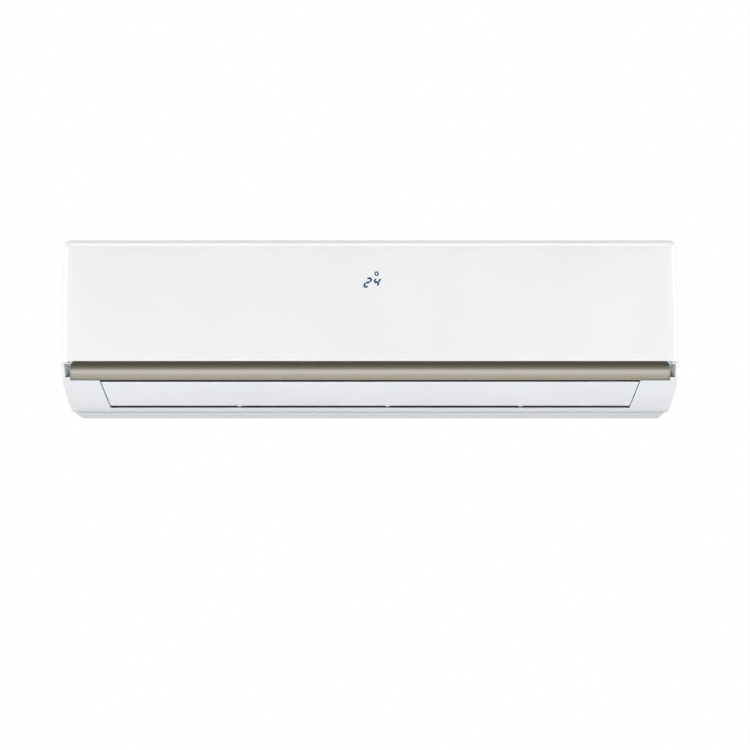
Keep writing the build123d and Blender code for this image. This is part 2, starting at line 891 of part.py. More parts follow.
with BuildPart() as louver:
    with BuildSketch(station(-louver_half_top)) as blade:
        with BuildLine():
            skin = ThreePointArc(
                side(*nose_point(louver_low)),
                side(*nose_point((louver_low + louver_top) / 2)),
                side(*nose_point(louver_top)),
            )
            inner_skin = ThreePointArc(
                side(*nose_point(louver_low + 1.2, louver_thickness)),
                side(*nose_point((louver_low + louver_top) / 2, louver_thickness)),
                side(*nose_point(louver_top - 0.6, louver_thickness)),
            )
            Line(skin @ 0, inner_skin @ 0)
            Line(skin @ 1, inner_skin @ 1)
        make_face()
    extrude(amount=2 * louver_half_top)
    extrude(
        outlet_front(0, louver_top, louver_low, hinge[0] - 9),
        amount=depth,
        mode=Mode.INTERSECT,
    )
    ear = [
        nose_point(louver_low + 2, 1),
        nose_point(louver_low + 20, 1),
        nose_point(louver_low + 20, 4),
        (hinge[0] + 1, hinge[1] + ear_radius),
        (hinge[0] - 2, hinge[1] + 3),
        (hinge[0] - 3, hinge[1]),
        (hinge[0] - 1, hinge[1] - 3),
    ]
    ear_places = [place + bracket_width / 2 + seam for place in bracket_places]
    ear_places += [-louver_half_low + 1, louver_half_low - 1 - ear_width]
    for x in ear_places:
        extrude(side_area(ear, x), amount=ear_width)
    for place in bracket_places:
        pin_start = place - bracket_width / 2 - seam
        extrude(
            peg_area(hinge, hinge_pin, pin_start), amount=bracket_width + 2 * seam + 1
        )
    extrude(peg_area(hinge, hinge_pin, -louver_pin_end), amount=8)
    rib = [
        nose_point(louver_low + 20, 1),
        nose_point(louver_top - 4, 1),
        nose_point(louver_top - 4, 5),
        nose_point(louver_low + 20, 5),
    ]
    for x in (-300, -100, 130, 320):
        extrude(side_area(rib, x), amount=2)
    # pockets behind the skin, in which the brackets' eyes stay clear as the louver swings
    for place in bracket_places:
        pocket_start = place - bracket_width / 2 - seam
        with BuildSketch(station(pocket_start)) as pocket:
            with Locations(side(*hinge)):
                boss(eye_room, 8)
                peg(hinge_pin, mode=Mode.SUBTRACT)
        extrude(amount=bracket_width + 2 * seam, mode=Mode.SUBTRACT)
write(louver, "louver")

# Louver coupling: a plastic sleeve, pinned into the right ear, on the motor's flatted shaft
drive_radius = 1.8
can_start = guide_right + shell + 0.1

with BuildPart() as louver_coupling:
    extrude(
        peg_area(hinge, coupling_radius, louver_half_low - 1 + 0.05),
        amount=can_start - louver_half_low - 0.05,
    )
    extrude(
        peg_area(hinge, drive_radius + 0.05, louver_half_low + 0.5, room=True),
        amount=20,
        mode=Mode.SUBTRACT,
    )
write(louver_coupling, "louver_coupling")

# Louver motor: a small round stepping motor behind the outlet's right wall
motor_can_radius = 14.0
can_length = 18.0
can_centre = along(hinge, nose_centre, 11)

with BuildPart() as louver_motor:
    extrude(boss_area(can_centre, motor_can_radius, can_start), amount=can_length)
    extrude(
        peg_area(hinge, drive_radius, louver_half_low + 1),
        amount=can_start - louver_half_low,
    )
    with BuildSketch(station(can_start + 1)) as ears:
        with BuildLine():
            Polyline(
                side(can_centre[0] - 17.5, can_centre[1] - 3.5),
                side(can_centre[0] + 17.5, can_centre[1] - 3.5),
                side(can_centre[0] + 17.5, can_centre[1] + 3.5),
                side(can_centre[0] - 17.5, can_centre[1] + 3.5),
                close=True,
            )
        make_face()
    extrude(amount=1)
write(louver_motor, "louver_motor")


# Louver brackets: three arms on the lower lip, whose eyes carry the louver's pins
with BuildPart() as louver_brackets:
    arm = [
        (hinge[0] - 2.4, hinge[1] + 2.4),
        (hinge[0], hinge[1] + 3.2),
        (hinge[0] + 2.4, hinge[1] + 2.4),
        (hinge[0] + 3.2, hinge[1]),
        (hinge[0] + 2.2, hinge[1] - 2.4),
        (hinge[0] - 0.6, hinge[1] - 3.2),
        nose_point(case_bottom + 5.4, shell + 0.05),
        nose_point(case_bottom + 3.2, shell + 0.05),
        along(nose_point(case_bottom + 3.2, shell + 0.05), nose_centre, 4),
    ]
    for place in bracket_places:
        extrude(side_area(arm, place - bracket_width / 2), amount=bracket_width)
        extrude(
            peg_area(hinge, hinge_pin + pin_play, place - bracket_width / 2, room=True),
            amount=bracket_width,
            mode=Mode.SUBTRACT,
        )
write(louver_brackets, "louver_brackets")


# Vanes: upright blades that turn on pins in the lower guide and carry a coupling rod
vane_thickness = 1.6
vane_rise = 58.0
vane_foot = 2.0
rod_run = 56.0
rod_rise = 44.0
rod_thickness = 2.8
rod_width = 5.0
rod_pin = 0.75
rod_play = 0.3
notch_half = 4.6
vane_shape = [
    duct(24, vane_foot),
    duct(62, vane_foot),
    duct(64, 30),
    duct(68, vane_rise),
    duct(46, vane_rise),
]


def vane_plane(run, rise, x):
    """A plane square to the vanes' pins, at a place in the duct."""
    out, up = duct(run, rise)
    return Plane(
        origin=(x, -out, up - height / 2), x_dir=(1, 0, 0), z_dir=pivot_plane.z_dir
    )


def make_vane(x, led):
    """One vane at its place; the led one has the finger tab that moves its group."""
    with BuildPart() as vane:
        extrude(side_area(vane_shape, x - vane_thickness / 2), amount=vane_thickness)
        with BuildSketch(vane_plane(rod_run, rod_rise - 2.5, x)) as notch:
            Rectangle(3, 2 * notch_half)
        extrude(amount=5, mode=Mode.SUBTRACT)
        with BuildSketch(vane_plane(rod_run, rod_rise - 3.0, x)) as rod_seat:
            peg(rod_pin)
        extrude(amount=6)
        with BuildSketch(vane_plane(vane_pivot_run, -shell + 0.2, x)) as pin:
            peg(vane_pin)
        extrude(amount=shell + vane_foot + 2)
        if led:
            tab = [duct(60, 14), duct(74, 16), duct(74, 26), duct(61, 28)]
            extrude(side_area(tab, x - 1.5), amount=3)
    return vane


def make_rod(first, count):
    """The flat rod of a group, with an eye at each vane."""
    length = (count - 1) * vane_pitch + 12
    middle = first + (count - 1) * vane_pitch / 2
    with BuildPart() as rod:
        with BuildSketch(
            vane_plane(rod_run, rod_rise - rod_thickness / 2, middle)
        ) as bar:
            Rectangle(length, rod_width)
            with GridLocations(vane_pitch, 0, count, 1):
                peg(rod_pin + rod_play, room=True, mode=Mode.SUBTRACT)
        extrude(amount=rod_thickness)
    return rod


group = vane_count // 2
for side_name, first in (
    ("left", vane_first), ("right", vane_first + group * vane_pitch)
):
    for number in range(group):
        write(
            make_vane(first + number * vane_pitch, number == 0),
            f"vane_{side_name}_{number + 1}",
        )
    write(make_rod(first, group), f"vane_rod_{side_name}")


# Cross-flow fan: curved blades between an end disc, support rings and the driven disc
blade_inner = 37.5
blade_sweep = 15.0
blade_sag = 1.5
disc_thickness = 3.0
hub_radius = 8.0

with BuildPart() as fan_wheel:
    fan_length = fan_right - fan_left
    with BuildSketch(station(fan_left)) as blades:
        with BuildLine() as blade_line:
            tip = (fan_radius - 0.4, 0)
            root = (
                blade_inner * cos(radians(blade_sweep)),
                blade_inner * sin(radians(blade_sweep)),
            )
            middle = bulge(tip, root, -blade_sag)
            convex = bulge(tip, root, -blade_sag - blade_thickness)
            Polyline(tip, middle, root, convex, close=True)
        blade_face = make_face(mode=Mode.PRIVATE)
        with Locations(side(*fan_centre)):
            with PolarLocations(0, fan_blades):
                add(blade_face)
    extrude(amount=fan_length)
    ring_gap = (fan_length - disc_thickness) / (fan_rings + 1)
    for number in range(1, fan_rings + 1):
        with BuildSketch(station(fan_left + number * ring_gap)) as ring:
            with Locations(side(*fan_centre)):
                RegularPolygon(fan_radius, fan_blades)
                RegularPolygon(blade_inner - 2, fan_blades, mode=Mode.SUBTRACT)
        extrude(amount=disc_thickness)
    with BuildSketch(station(fan_left)) as end_disc:
        with Locations(side(*fan_centre)):
            RegularPolygon(fan_radius, fan_blades)
    extrude(amount=disc_thickness)
    with BuildSketch(station(fan_right - disc_thickness)) as driven_disc:
        with Locations(side(*fan_centre)):
            RegularPolygon(fan_radius, fan_blades)
            boss(hub_radius, mode=Mode.SUBTRACT)
    extrude(amount=disc_thickness)
write(fan_wheel, "fan_wheel")

# Fan hub: the boss in the driven disc, clamped on the motor's shaft
hub_fit = 0.05
with BuildPart() as fan_hub:
    with BuildSketch(station(fan_right - disc_thickness)) as hub_ring:
        with Locations(side(*fan_centre)):
            boss(hub_radius - hub_fit)
            Circle(shaft_radius + hub_fit, mode=Mode.SUBTRACT)
    extrude(amount=disc_thickness + 5)
write(fan_hub, "fan_hub")

# Fan shafts: the stub at the left end and the motor's own shaft at the right
stub_end = duct_left - 7.0
with BuildPart() as fan_shaft:
    extrude(side_disc(fan_centre, shaft_radius, stub_end), amount=fan_left - stub_end)
    extrude(
        side_disc(fan_centre, shaft_radius, fan_right - disc_thickness),
        amount=motor_left + motor_length - fan_right - 5,
    )
write(fan_shaft, "fan_shaft")

# Fan bearing in its rubber mount, which fills the left wall's hole
bearing_radius = 10.0
with BuildPart() as fan_bearing:
    with BuildSketch(station(duct_left - shell / 2 - 3.5)) as bearing_ring:
        with Locations(side(*fan_centre)):
            boss(bearing_radius)
            Circle(shaft_radius + pin_play, mode=Mode.SUBTRACT)
    extrude(amount=7)
write(fan_bearing, "fan_bearing")

with BuildPart() as bearing_mount:
    with BuildSketch(station(duct_left - shell / 2 - 3)) as mount_ring:
        with Locations(side(*fan_centre)):
            boss(wall_hole_radius - hub_fit)
            boss(bearing_radius + hub_fit, mode=Mode.SUBTRACT)
    extrude(amount=6)
write(bearing_mount, "bearing_mount")

# Fan motor: a round can with two bosses on the saddles, held down by a strap
with BuildPart() as fan_motor:
    extrude(
        boss_area(fan_centre, motor_radius, motor_left, can_sides), amount=motor_length
    )
    extrude(boss_area(fan_centre, 16, motor_left - 3), amount=3)
    with BuildSketch(station(motor_left - 5)) as motor_bore:
        with Locations(side(*fan_centre)):
            peg(shaft_radius + play, room=True)
    extrude(amount=motor_length, mode=Mode.SUBTRACT)
write(fan_motor, "fan_motor")

with BuildPart() as motor_strap:
    with BuildSketch(station(motor_left + 12 + play)) as strap_ring:
        with Locations(side(*fan_centre)):
            boss(motor_radius + 1.6, can_sides)
            boss(motor_radius + hub_fit, can_sides, mode=Mode.SUBTRACT)
        with BuildLine():
            Polyline(
                side(*fan_centre),
                side(fan_out + 52, fan_up - 40),
                side(fan_out + 52, fan_up - 60),
                side(fan_out - 60, fan_up - 60),
                side(fan_out - 60, fan_up - 16),
                close=True,
            )
        make_face(mode=Mode.SUBTRACT)
    extrude(amount=motor_length - 24 - 2 * play)
write(motor_strap, "motor_strap")

# Upper outlet guide: the stabiliser's lip beside the fan and the slope under the drain pan
guide_lap = 0.1
with BuildPart() as outlet_guide:
    top_wall = [
        along(wall_rear, wall_front, 0.5, guide_lap),
        along(wall_rear, wall_front, 47, guide_lap),
        along(wall_rear, wall_front, 47, 2.4),
        along(wall_rear, wall_front, 3.2, 2.4),
        along(wall_rear, wall_front, 1.2, 4.5),
        along(wall_rear, wall_front, 0.5, 3.6),
    ]
    extrude(side_area(top_wall, duct_left + play), amount=guide_right - duct_left - 2 * play)
write(outlet_guide, "outlet_guide")

# Drain pan: a trough under the coil's foot with a spigot at the left and three screw bosses
pan_wall = 2.0
pan_base = 2.7
pan_end = guide_right - play
pan_rear_top = 98.0
pan_front_top = 79.4
spigot = (151.0, 88.4)
spigot_radius = 8.0
spigot_length = 27.0
pan_rear = along(wall_rear, wall_front, 4, pan_base)
pan_front = along(wall_rear, wall_front, 45, pan_base)
screw_front = parting(case_screw_up + 3.4, -shell - 0.1)[0]

with BuildPart() as drain_pan:
    pan_outer = [
        pan_rear,
        pan_front,
        (pan_front[0], pan_front_top),
        (pan_front[0] - pan_wall, pan_front_top),
        (pan_front[0] - pan_wall, pan_front[1] + 3),
        (pan_rear[0] + pan_wall, pan_rear[1] + pan_wall - 0.8),
        (pan_rear[0] + pan_wall, pan_rear_top),
        (pan_rear[0], pan_rear_top),
    ]
    extrude(side_area(pan_outer, -pan_end), amount=2 * pan_end)
    pan_side = [
        pan_rear,
        pan_front,
        (pan_front[0], pan_front_top),
        (spigot[0] + 10, spigot[1] + 8),
        (spigot[0] + 6, pan_rear_top),
        (pan_rear[0], pan_rear_top),
    ]
    for x in (-pan_end, pan_end - pan_wall):
        extrude(side_area(pan_side, x), amount=pan_wall)
    extrude(
        side_disc(spigot, spigot_radius, -pan_end - spigot_length),
        amount=spigot_length + pan_wall,
    )
    extrude(
        side_disc(spigot, spigot_radius - 1.5, -pan_end - spigot_length - 1),
        amount=spigot_length + pan_wall + 2,
        mode=Mode.SUBTRACT,
    )
    for x in case_screw_places:
        with BuildSketch(Plane.XZ.offset(pan_front[0] - 0.5)) as boss:
            with Locations((x, case_screw_up - height / 2)):
                Rectangle(9, 6.8)
                peg(case_screw_radius + hub_fit, room=True, mode=Mode.SUBTRACT)
        extrude(amount=screw_front - pan_front[0] + 0.5)
write(drain_pan, "drain_pan")

# Case screws: three pan-head screws through the front case into the drain pan
with BuildPart() as case_screws:
    head_seat = parting(case_screw_up + 3, 0.1)[0]
    for x in case_screw_places:
        with BuildSketch(Plane.XZ.offset(head_seat + 0.9)) as head:
            with Locations((x, case_screw_up - height / 2)):
                peg(3.4)
        extrude(amount=2.4)
        with BuildSketch(Plane.XZ.offset(pan_front[0] + 0.4)) as shank:
            with Locations((x, case_screw_up - height / 2)):
                peg(case_screw_radius)
        extrude(amount=head_seat + 1.5 - pan_front[0])
write(case_screws, "case_screws")


# Coil: three bent fin blocks between end plates, with return bends at the left
def make_fins(foot, knee, length):
    """One block of upright fins between two corners, joined along its inner edge."""
    with BuildPart() as fins:
        block = [
            along(foot, knee, 0.4),
            along(foot, knee, length - 0.4),
            along(foot, knee, length - 0.4, coil_thickness),
            along(foot, knee, 0.4, coil_thickness),
        ]
        extrude(side_area(block, coil_left), amount=coil_right - coil_left)
        gap = [
            along(foot, knee, -1, -1),
            along(foot, knee, length + 1, -1),
            along(foot, knee, length + 1, coil_thickness - 2),
            along(foot, knee, -1, coil_thickness - 2),
        ]
        pitch = (coil_right - coil_left) / fin_count
        for number in range(fin_count):
            slot_start = coil_left + (number + 0.12) * pitch
            extrude(side_area(gap, slot_start), amount=0.76 * pitch, mode=Mode.SUBTRACT)
    return fins


write(make_fins(coil_foot, coil_knee, coil_lower_length), "fins_lower")
write(make_fins(coil_upper_foot, coil_apex, coil_upper_length), "fins_upper")
write(make_fins(coil_rear_foot, coil_rear_apex, coil_rear_length), "fins_rear")

# End plates and return bends of the coil
plate_gap = 0.3
plate_tab = (114.0, 164.0)
with BuildPart() as end_plates:
    for x in (coil_left - plate_gap - sheet, coil_right + plate_gap):
        for foot, knee, length in (
            (coil_foot, coil_knee, coil_lower_length),
            (coil_upper_foot, coil_apex, coil_upper_length),
            (coil_rear_foot, coil_rear_apex, coil_rear_length + 4),
        ):
            end_plate = [
                along(foot, knee, 0.3),
                along(foot, knee, length - 0.3),
                along(foot, knee, length - 0.3, coil_thickness),
                along(foot, knee, 0.3, coil_thickness),
            ]
            extrude(side_area(end_plate, x), amount=sheet)
        knee_plate = [
            coil_inner_knee,
            along(coil_inner_knee, coil_apex, 1),
            along(coil_upper_foot, coil_apex, 0, coil_thickness),
            (plate_tab[0] - 4, plate_tab[1] - 4),
            (plate_tab[0] + 8, plate_tab[1] - 4),
            along(coil_foot, coil_knee, coil_lower_length - 10, coil_thickness - 1),
        ]
        extrude(side_area(knee_plate, x), amount=sheet)
    for start, end in (
        (duct_left + 0.1, coil_left - plate_gap), (coil_right + plate_gap, duct_right - 0.1)
    ):
        tab = [
            (plate_tab[0] - 3, plate_tab[1] - 3), (plate_tab[0] + 4, plate_tab[1] - 3),
            (plate_tab[0] + 4, plate_tab[1] + 3), (plate_tab[0] - 3, plate_tab[1] + 3),
        ]
        extrude(side_area(tab, start), amount=end - start)
write(end_plates, "end_plates")

bend_step = 19.0
bend_reach = 8.5
with BuildPart() as return_bends:
    for foot, knee, length in (
        (coil_foot, coil_knee, coil_lower_length),
        (coil_upper_foot, coil_apex, coil_upper_length),
        (coil_rear_foot, coil_rear_apex, coil_rear_length),
    ):
        for number in range(int((length - 6) // (2 * bend_step))):
            near = along(foot, knee, 10 + 2 * bend_step * number, coil_thickness / 2)
            far = along(foot, knee, 10 + 2 * bend_step * number + bend_step, coil_thickness / 2)
            bend_side = [
                along(near, far, -tube_radius, 2), along(near, far, -2, tube_radius),
                along(near, far, bend_step + 2, tube_radius),
                along(near, far, bend_step + tube_radius, 2),
                along(near, far, bend_step + tube_radius, -2),
                along(near, far, bend_step + 2, -tube_radius),
                along(near, far, -2, -tube_radius), along(near, far, -tube_radius, -2),
            ]
            bend_start = coil_left - 2 * plate_gap - sheet - bend_reach
            extrude(side_area(bend_side, bend_start), amount=bend_reach)
write(return_bends, "return_bends")

# Refrigerant pipes: from the coil's right end, down inside the flank and left to the unions
liquid_radius = 3.175
gas_radius = 6.35
pipe_bend = 22.0
pipe_start = coil_right + 2 * plate_gap + sheet
liquid_start = along(coil_rear_foot, coil_rear_apex, 32, coil_thickness / 2)
gas_start = along(coil_rear_foot, coil_rear_apex, 11, coil_thickness / 2)
liquid_turn = guide_right + 17
gas_turn = guide_right + 29
liquid_low = (22.0, 46.0)
gas_low = (27.0, 26.0)
liquid_end = 60.0
gas_end = 20.0


def make_pipe(radius, start, turn_x, low, end_x):
    """A pipe's run of straight stretches and bends, with its section turned to the run."""
    with BuildPart() as pipe:
        with BuildLine() as route:
            FilletPolyline(
                (pipe_start, -start[0], start[1] - height / 2),
                (turn_x, -start[0], start[1] - height / 2),
                (turn_x, -low[0], low[1] - height / 2),
                (end_x, -low[0], low[1] - height / 2),
                radius=pipe_bend,
            )
        with BuildSketch(Plane.YZ.offset(pipe_start)) as pipe_section:
            with Locations(side(*start)):
                peg(radius)
        sweep(path=route.line)
    return pipe


write(make_pipe(liquid_radius, liquid_start, liquid_turn, liquid_low, liquid_end), "liquid_pipe")
write(make_pipe(gas_radius, gas_start, gas_turn, gas_low, gas_end), "gas_pipe")

# Pipe unions: flare fittings with a hexagon and a threaded end
liquid_thread = 5.5
gas_thread = 9.5
hexagon_length = 16.0
thread_length = 14.0
with BuildPart() as pipe_unions:
    for low, end_x, thread in (
        (liquid_low, liquid_end, liquid_thread), (gas_low, gas_end, gas_thread)
    ):
        with BuildSketch(station(end_x - plate_gap - hexagon_length)) as hexagon:
            with Locations(side(*low)):
                RegularPolygon(thread + 2, 6, major_radius=False)
        extrude(amount=hexagon_length)
        extrude(
            side_disc(low, thread, end_x - plate_gap - hexagon_length - thread_length),
            amount=thread_length,
        )
write(pipe_unions, "pipe_unions")

clamp_x = 150.0
with BuildPart() as pipe_clamp:
    clamp_side = [
        (liquid_low[0] - 7, shell + plate_gap), (gas_low[0] + 8.4, shell + plate_gap),
        (gas_low[0] + 8.4, gas_low[1] + 6), (liquid_low[0] + 7, liquid_low[1] + 6),
        (liquid_low[0] - 7, liquid_low[1] + 6),
    ]
    extrude(side_area(clamp_side, clamp_x), amount=9)
    for low, radius in ((liquid_low, liquid_radius), (gas_low, gas_radius)):
        extrude(
            peg_area(low, radius + 0.15, clamp_x - 1, room=True),
            amount=11,
            mode=Mode.SUBTRACT,
        )
write(pipe_clamp, "pipe_clamp")

# Control box: an open tray with its lid, circuit board and terminal block
box_left = guide_right + shell + 0.1
box_right = width / 2 - shell - 10
box_rear = 60.0
box_front = 145.0
box_low = 98.0
box_high = 235.0
box_wall = 2.0
box_screw_ups = (box_low + 5, box_high - 5)
box_screw_x = box_left + 5

with BuildPart() as control_box:
    box_side = [
        (box_rear, box_low), (box_front, box_low), (box_front, box_high), (box_rear, box_high)
    ]
    extrude(side_area(box_side, box_left), amount=box_right - box_left)
    box_room = [
        (box_rear + box_wall, box_low + box_wall), (box_front + 1, box_low + box_wall),
        (box_front + 1, box_high - box_wall), (box_rear + box_wall, box_high - box_wall),
    ]
    extrude(
        side_area(box_room, box_left + box_wall),
        amount=box_right - box_left - 2 * box_wall,
        mode=Mode.SUBTRACT,
    )
    with BuildSketch(Plane.XZ.offset(box_rear + 1)) as box_columns:
        with Locations(*[(box_screw_x, up - height / 2) for up in box_screw_ups]):
            Rectangle(8, 8)
    extrude(amount=box_front - box_rear - 1)
write(control_box, "control_box")

button_seat = parting(button_up + button_radius + 3, -shell)[0] - 1
button_travel = 1.5
with BuildPart() as control_box_lid:
    with BuildSketch(Plane.XZ.offset(box_front + hub_fit)) as lid_face:
        with Locations(((box_left + box_right) / 2, (box_low + box_high) / 2 - height / 2)):
            Rectangle(box_right - box_left, box_high - box_low)
    extrude(amount=box_wall)
    with BuildSketch(Plane.XZ.offset(box_front + hub_fit)) as button_switch:
        with Locations((button_x, button_up - height / 2)):
            Rectangle(12, 12)
    extrude(amount=button_seat - 6 - box_front)
write(control_box_lid, "control_box_lid")

with BuildPart() as manual_button:
    with BuildSketch(Plane.XZ.offset(button_seat - 1.5)) as button_flange:
        with Locations((button_x, button_up - height / 2)):
            peg(button_radius + 2.5)
    extrude(amount=1.5)
    with BuildSketch(Plane.XZ.offset(button_seat - 6 + button_travel + play)) as button_stem:
        with Locations((button_x, button_up - height / 2)):
            peg(button_radius)
    extrude(amount=parting(button_up)[0] + 0.8 - (button_seat - 6 + button_travel + play))
write(manual_button, "manual_button")

board_x = box_left + box_wall + 6
with BuildPart() as circuit_board:
    board_side = [
        (box_rear + 6, box_low + 14), (box_front - 8, box_low + 14),
        (box_front - 8, box_high - 14), (box_rear + 6, box_high - 14),
    ]
    extrude(side_area(board_side, board_x), amount=1.6)
    for out, up, long, tall, stand in (
        (82, 130, 22, 24, 20), (112, 136, 26, 18, 16), (88, 176, 30, 30, 24),
        (122, 190, 14, 40, 12), (92, 208, 20, 14, 10),
    ):
        with BuildSketch(station(board_x + 1.5)) as component:
            with Locations(side(out, up)):
                Rectangle(long, tall)
        extrude(amount=stand)
    for out, up in ((box_rear + 10, box_low + 18), (box_front - 12, box_high - 18)):
        with BuildSketch(station(box_left + box_wall + hub_fit)) as standoff:
            with Locations(side(out, up)):
                Rectangle(6, 6)
        extrude(amount=board_x - box_left - box_wall)
write(circuit_board, "circuit_board")

with BuildPart() as terminal_block:
    terminal_side = [(96, box_low - 16), (124, box_low - 16), (124, box_low - 0.1), (96, box_low - 0.1)]
    extrude(side_area(terminal_side, box_left + 5), amount=44)
    for number in range(5):
        terminal_slot = [(108, box_low - 17), (125, box_low - 17), (125, box_low - 7), (108, box_low - 7)]
        extrude(
            side_area(terminal_slot, box_left + 8 + number * 8), amount=6, mode=Mode.SUBTRACT
        )
write(terminal_block, "terminal_block")

# Display: a housing with its lamp board in front of the case's middle bar
display_x = 3.0
display_up = 208.5
display_length = 60.0
display_height = 34.0
display_depth = 14.0
with BuildPart() as display_housing:
    display_low, display_high = display_up - display_height / 2, display_up + display_height / 2
    housing_side = [
        parting(display_low, hub_fit), parting(display_low, display_depth),
        parting(display_high, display_depth), parting(display_high, hub_fit),
    ]
    extrude(side_area(housing_side, display_x - display_length / 2), amount=display_length)
    lamp_room = [
        parting(display_low + 3, display_depth - 4), parting(display_low + 3, display_depth + 1),
        parting(display_high - 3, display_depth + 1), parting(display_high - 3, display_depth - 4),
    ]
    extrude(
        side_area(lamp_room, display_x - display_length / 2 + 3),
        amount=display_length - 6,
        mode=Mode.SUBTRACT,
    )
write(display_housing, "display_housing")

with BuildPart() as display_board:
    board_edge = [
        parting(display_low + 3.3, display_depth - 3.9),
        parting(display_low + 3.3, display_depth - 2.3),
        parting(display_high - 3.3, display_depth - 2.3),
        parting(display_high - 3.3, display_depth - 3.9),
    ]
    extrude(
        side_area(board_edge, display_x - display_length / 2 + 3.3), amount=display_length - 6.6
    )
write(display_board, "display_board")


# Filters: frames with a net behind, straight behind the case's front and curved over the top
filter_front = 4.0
filter_thickness = 3.0
filter_low = 83.6
filter_width = 366.0
filter_middle = (rail_inner + rail_outer) / 2
filter_bend_up = 200.0
filter_arc_radius = 62.0
net_thickness = 0.6
frame_bar = 8.0


def filter_band(front, thickness, x):
    """The filter's bent section, that far behind the parting plane."""
    low = along(parting(filter_low), parting(height), 0, front)
    bend = along(parting(filter_bend_up), parting(height), 0, front)
    centre = along(bend, low, 0, front - filter_arc_radius)
    with BuildSketch(station(x)) as band:
        with BuildLine():
            Line(side(*low), side(*bend))
            turned = CenterArc(
                side(*centre), filter_arc_radius - front,
                degrees(atan2(bend[1] - centre[1], -(bend[0] - centre[0]))), -80,
            )
            offset(amount=thickness, side=Side.RIGHT)
        make_face()
    return band.sketch


for side_name, mirror_side in (("left", -1), ("right", 1)):
    start = mirror_side * filter_middle - filter_width / 2
    with BuildPart() as filter_frame:
        extrude(filter_band(filter_front, filter_thickness, start), amount=filter_width)
        cell = (filter_width - 4 * frame_bar) / 3
        for column in range(3):
            for low, high in ((filter_low + frame_bar, 137), (137 + frame_bar, filter_bend_up - 4)):
                pane = [parting(low, 5), parting(high, 5), parting(high, -20), parting(low, -20)]
                extrude(
                    side_area(pane, start + frame_bar + column * (cell + frame_bar)),
                    amount=cell,
                    mode=Mode.SUBTRACT,
                )
    write(filter_frame, f"filter_frame_{side_name}")
    with BuildPart() as filter_net:
        extrude(
            filter_band(filter_front + filter_thickness + 0.1, net_thickness, start + 2),
            amount=filter_width - 4,
        )
    write(filter_net, f"filter_net_{side_name}")
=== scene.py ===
import json
import math

import bmesh
import bpy
from mathutils import Matrix, Vector


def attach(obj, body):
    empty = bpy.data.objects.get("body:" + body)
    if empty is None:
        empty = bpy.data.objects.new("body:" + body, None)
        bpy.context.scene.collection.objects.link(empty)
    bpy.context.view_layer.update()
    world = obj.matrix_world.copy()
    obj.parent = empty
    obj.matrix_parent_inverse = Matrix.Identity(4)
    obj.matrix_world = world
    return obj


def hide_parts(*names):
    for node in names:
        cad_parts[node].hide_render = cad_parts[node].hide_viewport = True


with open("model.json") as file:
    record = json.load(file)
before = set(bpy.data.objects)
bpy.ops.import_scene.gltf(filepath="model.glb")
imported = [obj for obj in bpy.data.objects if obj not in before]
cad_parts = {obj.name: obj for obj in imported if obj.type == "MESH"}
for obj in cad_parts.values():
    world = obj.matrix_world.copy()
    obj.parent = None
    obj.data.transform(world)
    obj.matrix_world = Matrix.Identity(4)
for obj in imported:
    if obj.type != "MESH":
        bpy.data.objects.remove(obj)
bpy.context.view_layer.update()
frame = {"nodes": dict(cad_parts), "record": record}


# The camera stands square in front of the unit, about four metres off and a little under
# its middle, as on a product page, and the unit fills five sixths of the picture's width.
camera_distance = 4.20
camera_aside, camera_height = 0.0076, -0.070
face_depth = 0.195
picture_width_at_face = 1.1417
sensor_width = 36.0
camera_data = bpy.data.cameras.new("front_camera")
camera_data.sensor_width = sensor_width
camera_data.lens = sensor_width * (camera_distance - face_depth) / picture_width_at_face
camera = bpy.data.objects.new("front_camera", camera_data)
bpy.context.scene.collection.objects.link(camera)
camera.location = (camera_aside, -camera_distance, camera_height)
camera.rotation_euler = (math.radians(90), 0, 0)
bpy.context.scene.camera = camera
bpy.context.scene.view_settings.view_transform = "Standard"


